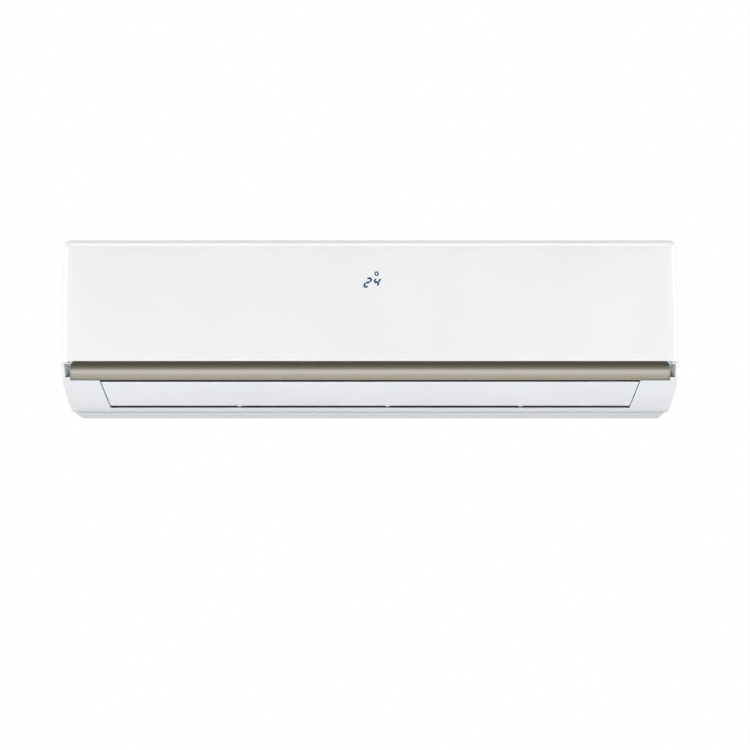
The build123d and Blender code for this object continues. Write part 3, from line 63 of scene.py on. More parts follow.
# Studio: a pale floor well under the unit and a surround that is brightest in front, with a
# tall lamp at each side for the border's highlight, one overhead and one low for the louver.
class Flow:
    """A shader socket on its way through the nodes, so that shader sums read as sums."""

    def __init__(self, socket):
        self.socket = socket

    def node(self, kind, settings=None, sockets=None, out=0):
        """A new node in the same tree, from its type, settings and sockets."""
        tree = self.socket.id_data
        made = tree.nodes.new(kind)
        for name, value in (settings or {}).items():
            if name == "stops":
                ramp = made.color_ramp.elements
                while len(ramp) < len(value):
                    ramp.new(0.5)
                for stop, (place, colour) in zip(ramp, value):
                    stop.position = place
                    stop.color = (*colour, 1.0)
            else:
                setattr(made, name, value)
        for name, value in (sockets or {}).items():
            if isinstance(value, Flow):
                tree.links.new(value.socket, made.inputs[name])
            else:
                made.inputs[name].default_value = value
        return Flow(made.outputs[out])

    def sum(self, operation, first, second=0.0):
        """One Math node."""
        return self.node("ShaderNodeMath", {"operation": operation}, {0: first, 1: second})

    def __add__(self, other):
        return self.sum("ADD", self, other)

    __radd__ = __add__

    def __sub__(self, other):
        return self.sum("SUBTRACT", self, other)

    def __rsub__(self, other):
        return self.sum("SUBTRACT", other, self)

    def __mul__(self, other):
        return self.sum("MULTIPLY", self, other)

    __rmul__ = __mul__

    def wave(self):
        """A ripple between 0 and 1."""
        return self.sum("SINE", self) * 0.5 + 0.5

    def most(self, other):
        """The larger of two values."""
        return self.sum("MAXIMUM", self, other)

    def rise(self, low, high):
        """0 under the first level and 1 over the second, with a soft step between them."""
        return self.node(
            "ShaderNodeMapRange", {"interpolation_type": "SMOOTHSTEP"},
            {0: self, 1: low, 2: high, 3: 0.0, 4: 1.0},
        )

    def axis(self, name):
        """One coordinate of a point."""
        return self.node("ShaderNodeSeparateXYZ", None, {0: self}, out=name)

    def stretched(self, scale):
        """The point with each axis scaled by its own number."""
        return self.node("ShaderNodeMapping", None, {"Vector": self, "Scale": scale})

    def noise(self, scale, detail=2.0):
        """A cloudy value between 0 and 1."""
        return self.node(
            "ShaderNodeTexNoise", None, {"Vector": self, "Scale": scale, "Detail": detail}
        )

    def cells(self, scale, out="Distance"):
        """Random cells, by their distance or by a colour for each."""
        return self.node(
            "ShaderNodeTexVoronoi", None, {"Vector": self, "Scale": scale}, out=out
        )

    def grey(self):
        """How light a colour is."""
        return self.node("ShaderNodeRGBToBW", None, {0: self})

    def between(self, first, second):
        """The first colour where this is 0 and the second where it is 1."""
        colours = [
            value if isinstance(value, Flow) else (*value, 1.0) for value in (first, second)
        ]
        return self.node(
            "ShaderNodeMix", {"data_type": "RGBA"}, {0: self, 6: colours[0], 7: colours[1]}, out=2
        )


rear_level, front_level = 0.125, 0.335
shown_level = 1.0
world = bpy.data.worlds.new("studio")
bpy.context.scene.world = world
world.use_nodes = True
world_tree = world.node_tree
world_tree.nodes.clear()
ray = world_tree.nodes.new("ShaderNodeLightPath")
shown = Flow(ray.outputs["Is Camera Ray"])
for kind in ("Is Glossy Ray", "Is Transmission Ray"):
    shown = shown.most(Flow(ray.outputs[kind]))
surround = Flow(world_tree.nodes.new("ShaderNodeTexCoord").outputs["Generated"])
ahead = (surround.axis("Y") * -1.0).rise(-0.5, 0.5)
skies = [
    shown.node(
        "ShaderNodeBackground", None, {"Color": (1.0, 1.0, 1.0, 1.0), "Strength": strength}
    )
    for strength in (ahead * (front_level - rear_level) + rear_level, shown_level)
]
sky = shown.node("ShaderNodeMixShader", None, {0: shown, 1: skies[0], 2: skies[1]})
world_end = world_tree.nodes.new("ShaderNodeOutputWorld")
world_tree.links.new(sky.socket, world_end.inputs["Surface"])


def soft_light(name, place, aim, width, height, power):
    """A rectangular area lamp at a place, turned to a point."""
    data = bpy.data.lights.new(name, "AREA")
    data.shape = "RECTANGLE"
    data.size = width
    data.size_y = height
    data.energy = power
    lamp = bpy.data.objects.new(name, data)
    bpy.context.scene.collection.objects.link(lamp)
    lamp.location = place
    lamp.rotation_euler = (Vector(aim) - Vector(place)).to_track_quat("-Z", "Y").to_euler()


soft_light("overhead", (0, -1.0, 2.3), (0, -0.2, 0.1), 2.6, 0.6, 25)
soft_light("left_strip", (-2.3, -0.75, 0.1), (-0.4, -0.15, 0), 0.5, 2.0, 30)
soft_light("right_strip", (2.3, -0.75, 0.1), (0.4, -0.15, 0), 0.5, 2.0, 30)
soft_light("low_front", (0, -1.9, -1.05), (0, -0.1, 0), 2.6, 0.5, 24)


def object_from(shape, name, finish):
    """The shape becomes an object of that name in one finish."""
    mesh = bpy.data.meshes.new(name)
    shape.to_mesh(mesh)
    shape.free()
    mesh.materials.append(finish)
    made = bpy.data.objects.new(name, mesh)
    bpy.context.scene.collection.objects.link(made)
    return made


floor_level, floor_reach, floor_out = -1.9, 3.0, -1.0
floor_glow, floor_share = 0.95, 0.6
floor_paint = bpy.data.materials.new("floor_paint")
floor_paint.use_nodes = True
floor_tree = floor_paint.node_tree
floor_shader = floor_tree.nodes["Principled BSDF"]
floor_shader.inputs["Base Color"].default_value = (0.94, 0.94, 0.94, 1.0)
floor_ray = Flow(floor_tree.nodes.new("ShaderNodeLightPath").outputs["Is Camera Ray"])
floor_pale = floor_ray.node("ShaderNodeEmission", None, {"Strength": floor_glow})
floor_seen = floor_ray.node(
    "ShaderNodeMixShader", None,
    {0: floor_ray * floor_share, 1: Flow(floor_shader.outputs["BSDF"]), 2: floor_pale},
)
floor_tree.links.new(
    floor_seen.socket, floor_tree.nodes["Material Output"].inputs["Surface"]
)
floor_shape = bmesh.new()
bmesh.ops.create_grid(floor_shape, x_segments=1, y_segments=1, size=floor_reach)
bmesh.ops.translate(floor_shape, verts=floor_shape.verts, vec=(0, floor_out, floor_level))
object_from(floor_shape, "floor", floor_paint)


# Mounting plate: pressed from zinc-coated steel sheet and screwed to the wall, with two
# stiffening beads, the hooks that the unit hangs from and the catches of its lower edge.
sharp_angle = 32


def new_finish(name, fixed):
    """A material, its shader and the point that is shaded; plain values go on the shader."""
    material = bpy.data.materials.new(name)
    material.use_nodes = True
    shader = material.node_tree.nodes["Principled BSDF"]
    for socket, value in fixed.items():
        shader.inputs[socket].default_value = value
    place = material.node_tree.nodes.new("ShaderNodeTexCoord")
    return material, shader, Flow(place.outputs["Object"])


def feed(shader, socket, flow):
    """What changes over the surface goes to one of the shader's sockets."""
    shader.id_data.links.new(flow.socket, shader.inputs[socket])


def dent(shader, height, distance, strength=1.0):
    """Bumps of that real depth in metres."""
    bump = height.node(
        "ShaderNodeBump", None,
        {"Strength": strength, "Distance": distance, "Height": height},
    )
    feed(shader, "Normal", bump)


def smooth(shape, sharpest):
    """Smooth-shaded faces, with each edge past that angle in degrees left sharp."""
    for face in shape.faces:
        face.smooth = True
    for side in shape.edges:
        side.smooth = side.calc_face_angle(0.0) < math.radians(sharpest)


def stand_in(piece, node):
    """The piece stands for a node and rides on its body."""
    bodies = frame["record"]["behaviour"]["bodies"]
    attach(piece, next(body for body, members in bodies.items() if node in members))
    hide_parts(node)


def finer(node, edge, finish, long_edge=0.0):
    """A merged copy of a node with its sharp edges rounded, which stands for it.

    All sizes are in metres. A long_edge first rounds just the edges over 0.3 m by that much.
    """
    shape = bmesh.new()
    shape.from_mesh(frame["nodes"][node].data)
    bmesh.ops.remove_doubles(shape, verts=shape.verts, dist=1e-5)
    bmesh.ops.dissolve_limit(
        shape, angle_limit=math.radians(0.5), verts=shape.verts, edges=shape.edges
    )
    if long_edge:
        long_sides = [
            side for side in shape.edges
            if side.calc_length() > 0.3
            and side.calc_face_angle(0.0) > math.radians(sharp_angle)
        ]
        bmesh.ops.bevel(
            shape, geom=long_sides, offset=long_edge, segments=3, profile=0.5,
            affect="EDGES", material=-1, clamp_overlap=True,
        )
    smooth(shape, sharp_angle)
    piece = object_from(shape, node + "_fine", finish)
    rounding = piece.modifiers.new("rounding", "BEVEL")
    rounding.width = edge
    rounding.segments = 2
    rounding.limit_method = "ANGLE"
    rounding.angle_limit = math.radians(sharp_angle)
    rounding.harden_normals = True
    flats = piece.modifiers.new("flats", "WEIGHTED_NORMAL")
    flats.keep_sharp = True
    stand_in(piece, node)


zinc, shader, point = new_finish("zinc_sheet", {"Metallic": 1.0})
spangle = point.cells(90.0, out="Color").grey()
feed(shader, "Base Color", spangle.between((0.50, 0.52, 0.54), (0.68, 0.70, 0.72)))
feed(shader, "Roughness", spangle * 0.18 + 0.32)
dent(shader, point.noise(260.0), 0.00004)
finer("mounting_plate", 0.0003, zinc)


# Rear chassis: one grey moulding with the foot, the air guide behind the fan, the outlet's
# side walls and the motor's saddles. It hooks on the plate and carries all that follows.
def moulded(name, colour, roughness, grain):
    """Injection-moulded plastic: an almost even colour and a spark-eroded mould's grain."""
    finish, shader, point = new_finish(name, {})
    cloud = point.noise(9.0).rise(0.3, 0.7)
    feed(shader, "Base Color", cloud.between([part * 0.972 for part in colour], colour))
    feed(shader, "Roughness", point.noise(60.0) * 0.08 + (roughness - 0.04))
    dent(shader, point.noise(2600.0), grain)
    return finish


grey_plastic = moulded("grey_plastic", (0.60, 0.62, 0.65), 0.46, 0.00002)
finer("rear_chassis", 0.0003, grey_plastic)


# Fan motor and bearing: a drawn steel can on two saddles under a zinc strap, its ground
# shaft, and a sintered bearing in a rubber mount in the left wall.
def metal(name, colour, roughness, lines):
    """Worked metal with fine marks along the unit's length."""
    finish, shader, point = new_finish(name, {"Metallic": 1.0})
    marks = point.stretched((lines, 900.0, 900.0)).noise(1.0, 4.0)
    feed(shader, "Base Color", marks.between([part * 0.86 for part in colour], colour))
    feed(shader, "Roughness", marks * 0.16 + (roughness - 0.08))
    dent(shader, marks, 0.00001)
    return finish


drawn_steel = metal("drawn_steel", (0.58, 0.58, 0.60), 0.34, 30.0)
for node in ("fan_motor", "fan_shaft", "fan_bearing"):
    finer(node, 0.0004, drawn_steel)
finer("motor_strap", 0.0002, zinc)
soft_rubber = moulded("soft_rubber", (0.030, 0.030, 0.032), 0.78, 0.00006)
for node in ("bearing_mount", "fan_hub"):
    finer(node, 0.0003, soft_rubber)


# Cross-flow fan: glass-filled plastic blades welded between thin rings in nine sections,
# with a closed disc at the left end and the driven disc on the motor's rubber hub.
half_height = 137.5
axis_out, axis_up = 78.0, 118.0
fan_start, fan_end = -392.0, 328.0
fan_blades = 35
blade_tip, blade_root = (48.4, 0.0), (36.6, 9.8)
blade_sag, blade_wall, blade_setback = 1.6, 0.8, 2.0
ring_outer, ring_width, ring_steps = 48.9, 2.5, 56
closed_bore, ring_bore, hub_bore = 0.4, 35.8, 8.2


def spot(x, out, up):
    """A point from mm along the unit, out from the wall and up from the unit's foot."""
    return Vector((x, -out, up - half_height)) / 1000


def finished(name, shape, node, finish, sharpest=sharp_angle):
    """The shape becomes a smooth-shaded piece that stands for a node."""
    smooth(shape, sharpest)
    piece = object_from(shape, name, finish)
    stand_in(piece, node)
    return piece


def arc_centre(start, end, sag):
    """Centre and radius of the arc between two side points that stands off to the left."""
    run, rise = end[0] - start[0], end[1] - start[1]
    chord = math.hypot(run, rise)
    radius = chord * chord / (8 * sag) + sag / 2
    reach = (sag - radius) / chord
    centre = (
        (start[0] + end[0]) / 2 - rise * reach,
        (start[1] + end[1]) / 2 + run * reach,
    )
    return centre, abs(radius)


def angle_from(centre, place):
    """The angle at which a side point is seen from a centre."""
    return math.atan2(place[1] - centre[1], place[0] - centre[0])


def arc_turn(centre, start, end):
    """The shorter turn about a centre from one side point to another."""
    turn = angle_from(centre, end) - angle_from(centre, start)
    return (turn + math.pi) % math.tau - math.pi


def vertices(made):
    """The vertices among what an operator has made."""
    return [v for v in made if isinstance(v, bmesh.types.BMVert)]


def drawn_out(shape, edges, vec):
    """Edges drawn out into walls along a vector in metres, with what was made of them."""
    made = bmesh.ops.extrude_edge_only(shape, edges=edges)["geom"]
    bmesh.ops.translate(shape, verts=vertices(made), vec=vec)
    return made


def fan_ring(shape, start, inner):
    """A flat ring round the fan's axis, turned from its four-cornered section."""
    section = [
        bmesh.ops.create_vert(shape, co=spot(x, axis_out, axis_up + radius))["vert"][0]
        for x, radius in (
            (start, inner), (start + ring_width, inner),
            (start + ring_width, ring_outer), (start, ring_outer),
        )
    ]
    sides = [shape.edges.new((section[i - 1], section[i])) for i in range(4)]
    bmesh.ops.spin(
        shape, geom=section + sides, cent=spot(0, axis_out, axis_up), axis=(1, 0, 0),
        dvec=(0, 0, 0), angle=math.tau, steps=ring_steps, use_merge=True,
    )


wheel = bmesh.new()
bend = arc_centre(blade_tip, blade_root, blade_sag)[0]
blade_start = fan_start + blade_setback
tip = spot(blade_start, axis_out - blade_tip[0], axis_up + blade_tip[1])
bmesh.ops.spin(
    wheel, geom=bmesh.ops.create_vert(wheel, co=tip)["vert"],
    cent=spot(blade_start, axis_out - bend[0], axis_up + bend[1]), axis=(1, 0, 0),
    dvec=(0, 0, 0), angle=arc_turn(bend, blade_tip, blade_root), steps=5,
)
drawn_out(wheel, wheel.edges[:], ((fan_end - fan_start - 2 * blade_setback) / 1000, 0, 0))
bmesh.ops.recalc_face_normals(wheel, faces=wheel.faces)
bmesh.ops.solidify(wheel, geom=wheel.faces[:], thickness=blade_wall / 1000)
bmesh.ops.spin(
    wheel, geom=wheel.verts[:] + wheel.edges[:] + wheel.faces[:],
    cent=spot(0, axis_out, axis_up), axis=(1, 0, 0), dvec=(0, 0, 0),
    angle=math.tau * (fan_blades - 1) / fan_blades, steps=fan_blades - 1, use_duplicate=True,
)
ring_bores = [closed_bore] + [ring_bore] * 8 + [hub_bore]
ring_spacing = (fan_end - fan_start - ring_width) / (len(ring_bores) - 1)
for number, inner in enumerate(ring_bores):
    fan_ring(wheel, fan_start + number * ring_spacing, inner)
bmesh.ops.remove_doubles(wheel, verts=wheel.verts, dist=1e-7)
bmesh.ops.recalc_face_normals(wheel, faces=wheel.faces)
fan_plastic = moulded("fan_plastic", (0.052, 0.055, 0.060), 0.42, 0.00003)
finished("cross_flow_fan", wheel, "fan_wheel", fan_plastic)


# Outlet guide, vanes and their rods: grey mouldings. The guide's lip stands close beside
# the fan, and the vanes clip into the lower guide with a rod that turns each group of five.
finer("outlet_guide", 0.0003, grey_plastic)
vane_plastic = moulded("vane_plastic", (0.56, 0.58, 0.61), 0.44, 0.00002)
for hand in ("left", "right"):
    for number in range(1, 6):
        finer(f"vane_{hand}_{number}", 0.0002, vane_plastic)
    finer(f"vane_rod_{hand}", 0.0002, vane_plastic)


# Drain pan: a grey moulded trough under the coil's foot that catches its water, with a
# spigot at the left end that the drain hose is pushed on, and bosses for the case's screws.
finer("drain_pan", 0.0003, grey_plastic)


# Coil: three blocks of thin aluminium fins threaded on copper tubes, between zinc end
# plates, with brazed return bends at the left.
fin_start, fin_end = -387.6, 326.0
fin_step, fin_wall = 1.9, 0.14
fin_margin = 0.5
fin_front, fin_back = 0.2, 21.8
tube_rows = ((6.0, -4.5), (16.0, 4.5))
tube_radius = 3.4
tube_margin, first_tube, tube_step = 8, 9, 19
fin_foil = metal("fin_foil", (0.74, 0.76, 0.78), 0.36, 4.0)


def laid_along(shape, verts, place):
    """Turns a flat ring or an upright bar to lie along the unit, at its place."""
    bmesh.ops.rotate(
        shape, verts=verts, cent=(0, 0, 0), matrix=Matrix.Rotation(math.pi / 2, 3, "Y")
    )
    bmesh.ops.translate(shape, verts=verts, vec=place)


def tube_rim(shape, sides, radius, place):
    """The edges of a circle from which a tube along the unit is drawn."""
    rim = bmesh.ops.create_circle(shape, segments=sides, radius=radius / 1000)["verts"]
    laid_along(shape, rim, place)
    return list(dict.fromkeys(side for v in rim for side in v.link_edges))


def fin_block(node, foot, knee):
    """Thin upright fins along the unit in the block between two side points."""
    length = math.hypot(knee[0] - foot[0], knee[1] - foot[1])
    run, rise = (knee[0] - foot[0]) / length, (knee[1] - foot[1]) / length

    def inside(along, across):
        return spot(
            fin_start, foot[0] + run * along - rise * across,
            foot[1] + rise * along + run * across,
        )

    block = bmesh.new()
    corners = [
        bmesh.ops.create_vert(block, co=inside(along, across))["vert"][0]
        for along, across in (
            (fin_margin, fin_front), (length - fin_margin, fin_front),
            (length - fin_margin, fin_back), (fin_margin, fin_back),
        )
    ]
    plate = block.faces.new(corners)
    grown = bmesh.ops.extrude_face_region(block, geom=[plate])["geom"]
    bmesh.ops.translate(block, verts=vertices(grown), vec=(fin_wall / 1000, 0, 0))
    bmesh.ops.spin(
        block, geom=block.verts[:] + block.edges[:] + block.faces[:], cent=(0, 0, 0),
        axis=(1, 0, 0), dvec=(fin_step / 1000, 0, 0), angle=0,
        steps=int((fin_end - fin_start) / fin_step), use_duplicate=True,
    )
    for row in range(int((length - tube_margin) // tube_step) + 1):
        for across, stagger in tube_rows:
            middle = inside(first_tube + tube_step * row + stagger, across)
            rim = tube_rim(block, 14, tube_radius, middle)
            drawn_out(block, rim, ((fin_end - fin_start) / 1000, 0, 0))
    bmesh.ops.recalc_face_normals(block, faces=block.faces)
    finished(node + "_block", block, node, fin_foil)


fin_block("fins_lower", (161.05, 93.0), (148.32, 176.03))
fin_block("fins_upper", (124.22, 175.93), (79.4, 237.5))
fin_block("fins_rear", (32.0, 192.0), (60.22, 224.77))
finer("end_plates", 0.0002, zinc)
copper = metal("copper_tube", (0.72, 0.40, 0.26), 0.30, 12.0)
finer("return_bends", 0.0016, copper)


# Refrigerant pipes: drawn copper tubes, bent twice inside the right flank, that end in
# forged brass flare unions and pass through a black clamp under the chassis.
pipe_start = 327.8
pipe_bend = 22.0
pipe_wall = 0.8


def bent_pipe(node, radius, high, turn_x, low, end_x):
    """A round tube from the coil to the right, down the flank and back to the left."""
    pipe = bmesh.new()
    down = Vector((0, high[0] - low[0], low[1] - high[1])).normalized()
    fall = math.hypot(low[0] - high[0], low[1] - high[1])
    sideways = Vector((1, 0, 0)).cross(down)

    def straight(edges, vec):
        grown = drawn_out(pipe, edges, vec)
        return [side for side in grown if isinstance(side, bmesh.types.BMEdge)]

    def corner(edges, centre):
        ends = list(dict.fromkeys(v for side in edges for v in side.verts))
        turned = bmesh.ops.spin(
            pipe, geom=ends + edges, cent=centre, axis=sideways, dvec=(0, 0, 0),
            angle=math.pi / 2, steps=10,
        )["geom_last"]
        return [side for side in turned if isinstance(side, bmesh.types.BMEdge)]

    edges = tube_rim(pipe, 20, radius, spot(pipe_start, *high))
    edges = straight(edges, Vector(((turn_x - pipe_bend - pipe_start) / 1000, 0, 0)))
    edges = corner(edges, spot(turn_x - pipe_bend, *high) + down * pipe_bend / 1000)
    edges = straight(edges, down * (fall - 2 * pipe_bend) / 1000)
    edges = corner(edges, spot(turn_x - pipe_bend, *low) - down * pipe_bend / 1000)
    straight(edges, Vector(((end_x - turn_x + pipe_bend) / 1000, 0, 0)))
    bmesh.ops.recalc_face_normals(pipe, faces=pipe.faces)
    piece = finished(node + "_tube", pipe, node, copper)
    wall = piece.modifiers.new("wall", "SOLIDIFY")
    wall.thickness = pipe_wall / 1000


bent_pipe("liquid_pipe", 3.17, (44.54, 223.43), 419.0, (22.0, 46.0), 60.0)
bent_pipe("gas_pipe", 6.34, (30.84, 207.51), 431.0, (27.0, 26.0), 20.0)
brass, shader, point = new_finish("forged_brass", {"Metallic": 1.0})
tarnish = point.noise(180.0)
feed(shader, "Base Color", tarnish.between((0.66, 0.48, 0.22), (0.78, 0.60, 0.32)))
feed(shader, "Roughness", point.noise(420.0) * 0.16 + 0.26)
dent(shader, (point.axis("X") * 5200.0).wave(), 0.0002, 0.5)
finer("pipe_unions", 0.0005, brass)
black_plastic = moulded("black_plastic", (0.030, 0.031, 0.034), 0.50, 0.00003)
finer("pipe_clamp", 0.0004, black_plastic)


# Electrics: a flame-resistant black box with its lid and switch at the right end, the main
# circuit board on stand-offs inside it and the terminal block for the wires below it.
for node in ("control_box", "control_box_lid", "terminal_block"):
    finer(node, 0.0003, black_plastic)
board_face = 414.3
board, shader, point = new_finish("circuit_board", {})
raised = (point.axis("X") * 1000.0).rise(board_face, board_face + 0.3)
tracks = point.stretched((1.0, 1.0, 0.25)).cells(260.0).rise(0.30, 0.34)
lacquer = tracks.between((0.010, 0.120, 0.050), (0.030, 0.200, 0.085))
parts_colours = [
    (0.0, (0.02, 0.02, 0.02)), (0.5, (0.03, 0.03, 0.04)), (0.8, (0.45, 0.40, 0.10)),
]
parts_colour = point.node(
    "ShaderNodeValToRGB", {"stops": parts_colours}, {"Fac": point.noise(14.0)}
)
feed(shader, "Base Color", raised.between(lacquer, parts_colour))
feed(shader, "Roughness", raised * 0.20 + 0.28)
dent(shader, tracks, 0.00004)
finer("circuit_board", 0.0003, board)


# Louver drive and brackets: a small stepping motor turns the louver through a black
# coupling at the right, and three white arms on the lower lip carry it in between.
finer("louver_motor", 0.0004, drawn_steel)
finer("louver_coupling", 0.0002, black_plastic)
white_plastic = moulded("white_plastic", (0.755, 0.768, 0.788), 0.38, 0.00001)
finer("louver_brackets", 0.0003, white_plastic)


# Front case, its screws and the emergency button: a white moulding that closes the unit all
# round the panel, with windows for the filters, screwed into the drain pan behind the panel.
finer("front_case", 0.0005, white_plastic)
finer("case_screws", 0.0003, drawn_steel)
finer("manual_button", 0.0004, white_plastic)


# Slit shade: black sheets set on the duct's end walls, behind the slits at the louver's slanted
# ends, as painted shade that keeps those slits dark.
nose_centre, nose_radius = (19.5, 242.06), 251.9
slit_shade_depth, slit_shade_wall = 9.0, 4.0
slit_shade_foot, slit_shade_step, slit_shade_points = 17.0, 4.9, 9
slit_shade_outer = 424.0


def face_the_room(shape):
    """An open sheet's faces all point away from the wall."""
    bmesh.ops.recalc_face_normals(shape, faces=shape.faces)
    if sum(face.normal.y * face.calc_area() for face in shape.faces) > 0:
        bmesh.ops.reverse_faces(shape, faces=shape.faces)


# Black sheets: painted shade in the slits at the louver's ends.
slit_shade_paint = moulded("black_slit_shade_paint", (0.012, 0.012, 0.013), 0.90, 0.0002)
for name, hand, slit_shade_inner in (("duct_slit_shade_left", -1, 404.6), ("duct_slit_shade_right", 1, 404.9)):
    slit_shade = bmesh.new()
    line = []
    for number in range(slit_shade_points):
        up = slit_shade_foot + number * slit_shade_step
        out = nose_centre[0] + math.sqrt(
            (nose_radius - slit_shade_depth) ** 2 - (up - nose_centre[1]) ** 2
        )
        place = spot(hand * slit_shade_inner, out, up)
        line.append(bmesh.ops.create_vert(slit_shade, co=place)["vert"][0])
    for lower, upper in zip(line, line[1:]):
        slit_shade.edges.new((lower, upper))
    drawn_out(slit_shade, slit_shade.edges[:], (hand * (slit_shade_outer - slit_shade_inner) / 1000, 0, 0))
    face_the_room(slit_shade)
    bmesh.ops.solidify(slit_shade, geom=slit_shade.faces[:], thickness=slit_shade_wall / 1000)
    strip = object_from(slit_shade, name, slit_shade_paint)
    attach(strip, "casing")


# Intake grille: one white moulding of long and cross bars that clips into the unit's top,
# over the coil, and keeps fingers off the fins.
finer("top_grille", 0.0004, white_plastic)


# Display: a white moulded housing on the front case's middle bar, close behind the panel,
# with a small green lacquered board in it that carries the lamps.
finer("display_housing", 0.0005, white_plastic)
finer("display_board", 0.0002, board)


# Filters: pale grey moulded frames that stand in catches behind the panel and lift out
# upwards, each welded to a fine net of woven grey nylon thread.
thread_pitch = 3900.0
thread_low, thread_high = 0.60, 0.72
frame_plastic = moulded("filter_frame_plastic", (0.66, 0.70, 0.72), 0.44, 0.00002)
net, shader, point = new_finish("filter_net", {"Roughness": 0.6})
warp = (point.axis("X") * thread_pitch).wave().rise(thread_low, thread_high)
down_net = point.axis("Z") - point.axis("Y") * 0.5
weft = (down_net * thread_pitch).wave().rise(thread_low, thread_high)
threads = warp.most(weft)
feed(shader, "Base Color", threads.between((0.20, 0.22, 0.24), (0.32, 0.35, 0.38)))
feed(shader, "Alpha", threads * 0.80 + 0.12)
dent(shader, threads, 0.0001)
for hand in ("left", "right"):
    finer(f"filter_frame_{hand}", 0.0004, frame_plastic)
    finer(f"filter_net_{hand}", 0.0001, net)


# Louver: a long curved white blade with slanted ends, which follows the case's nose and
# swings on ears beside the three brackets. Its edges are rounded by the mould.
finer("louver", 0.0003, white_plastic, long_edge=0.0011)


# Front panel: a glossy white moulded cover, dished over its whole height, with a broad
# rounded border, a round bead that it hinges on and a white carrier for the strip below.
panel_half = 469.2
panel_low, panel_high = 88.6, 274.2
panel_corner = 10.2
panel_wall = 2.8
face_top, face_foot, face_sag = 169.0, 204.6, 3.4
side_border, top_border, border_depth, border_roll = 20, 17, 9, 3.75
chin = 3
case_top, case_front_at_top, case_lean = 275, 146.4, 0.15327
hinge_out, hinge_up = 150.72, 270.6
bead_radius, bead_core, bead_half = 3.6, 3.55, 457.0
pin_radius, pin_half = 1.45, 4.5
lug_places, lug_half = (-330.0, 330.0), 3.4
lug_front, lug_foot = 155.2, 262
border_cuts = (0.25, 0.8, 1.8, 3.2, 5.0, 7.2, 9.8, 12.6, 16.0, 20.5)
chin_cuts = (88.75, 89.1, 89.7, 90.5, 91.6)
face_cuts = (95, 105, 120, 135, 150, 165, 180, 195, 210, 225, 240)
ear_start, ear_fade, ear_drop = 459, 6, 1.8
strip_half = 456.8
cove_top, cove_foot, cove_sag = (196.2, 88.6), (187.4, 60.1), -2.5
carrier_rear_top, carrier_rear_foot = (174.98, 88.6), (179.34, 60.1)


def panel_front(up):
    """How far the panel's dished face stands from the wall at a height."""
    centre, radius = arc_centre((face_top, panel_high), (face_foot, panel_low), face_sag)
    return centre[0] + math.sqrt(radius * radius - (up - centre[1]) ** 2)


def border_drop(x, up):
    """How far the rounded border falls back there from the dished face."""
    aside = max(0.0, 1 - (panel_half - abs(x)) / side_border)
    above = max(0.0, 1 - (panel_high - up) / top_border)
    edge = min(1.0, (aside ** border_roll + above ** border_roll) ** (1 / border_roll))
    below = min(1.0, max(0.0, 1 - (up - panel_low) / chin))
    round_edge = border_depth * (1 - math.sqrt(1 - edge * edge))
    return round_edge + chin * (1 - math.sqrt(1 - below * below))


def rear_edge(up):
    """How far the panel's rear edge stands from the wall, round the hinge at the top."""
    if up > hinge_up:
        return hinge_out - math.sqrt(max(0.0, bead_radius ** 2 - (up - hinge_up) ** 2))
    return case_front_at_top + (case_top - up) * case_lean


def upright_sheet(half_width, low, high):
    """A flat four-cornered sheet in the wall's plane, to be cut and bent."""
    sheet = bmesh.new()
    bmesh.ops.create_grid(sheet, x_segments=1, y_segments=1, size=0.5)
    bmesh.ops.scale(
        sheet, verts=sheet.verts, vec=(2 * half_width / 1000, (high - low) / 1000, 1)
    )
    bmesh.ops.rotate(
        sheet, verts=sheet.verts, cent=(0, 0, 0), matrix=Matrix.Rotation(math.pi / 2, 3, "X")
    )
    bmesh.ops.translate(sheet, verts=sheet.verts, vec=spot(0, 0, (low + high) / 2))
    return sheet


def round_corners(sheet, side, radius, steps):
    """Rounds the upper two corners of an upright sheet, or with a side of -1 the lower."""
    heights = [v.co.z for v in sheet.verts]
    middle = (min(heights) + max(heights)) / 2
    corners = [v for v in sheet.verts if (v.co.z - middle) * side > 0]
    bmesh.ops.bevel(
        sheet, geom=corners, offset=radius / 1000, segments=steps, profile=0.5,
        affect="VERTICES", material=-1,
    )


def height_of(point):
    """How far a point is over the unit's foot, in mm."""
    return point.z * 1000 + half_height


def cut(shape, place, square):
    """Cuts all faces by a plane through a place."""
    bmesh.ops.bisect_plane(
        shape, geom=shape.verts[:] + shape.edges[:] + shape.faces[:], dist=1e-6,
        plane_co=place, plane_no=square,
    )


panel = upright_sheet(panel_half, panel_low, panel_high)
round_corners(panel, 1, panel_corner, 10)
for reach in border_cuts:
    for hand in (-1, 1):
        cut(panel, spot(hand * (panel_half - reach), 0, 0), (1, 0, 0))
    if reach < top_border:
        cut(panel, spot(0, 0, panel_high - reach), (0, 0, 1))
for up in chin_cuts + face_cuts:
    cut(panel, spot(0, 0, up), (0, 0, 1))
rim = [side for side in panel.edges if side.is_boundary]
rear = set(vertices(drawn_out(panel, rim, (0, 0, 0))))
for v in panel.verts:
    x, up = v.co.x * 1000, height_of(v.co)
    if v in rear:
        v.co.y = -rear_edge(up) / 1000
    else:
        v.co.y = (border_drop(x, up) - panel_front(up)) / 1000
    if abs(x) > ear_start:
        v.co.z -= ear_drop / 1000 * max(0.0, 1 - (up - panel_low) / ear_fade)
face_the_room(panel)
for place in lug_places:
    for side in (-lug_half, lug_half):
        cut(panel, spot(place + side, 0, 0), (1, 0, 0))
cut(panel, spot(0, lug_front, 0), (0, 1, 0))
lug_room = []
for face in panel.faces:
    middle = face.calc_center_median()
    beside = min(abs(middle.x * 1000 - place) for place in lug_places)
    behind = -middle.y * 1000 < lug_front
    if beside < lug_half and behind and height_of(middle) > lug_foot:
        lug_room.append(face)
bmesh.ops.delete(panel, geom=lug_room, context="FACES")
bmesh.ops.solidify(panel, geom=panel.faces[:], thickness=panel_wall / 1000)

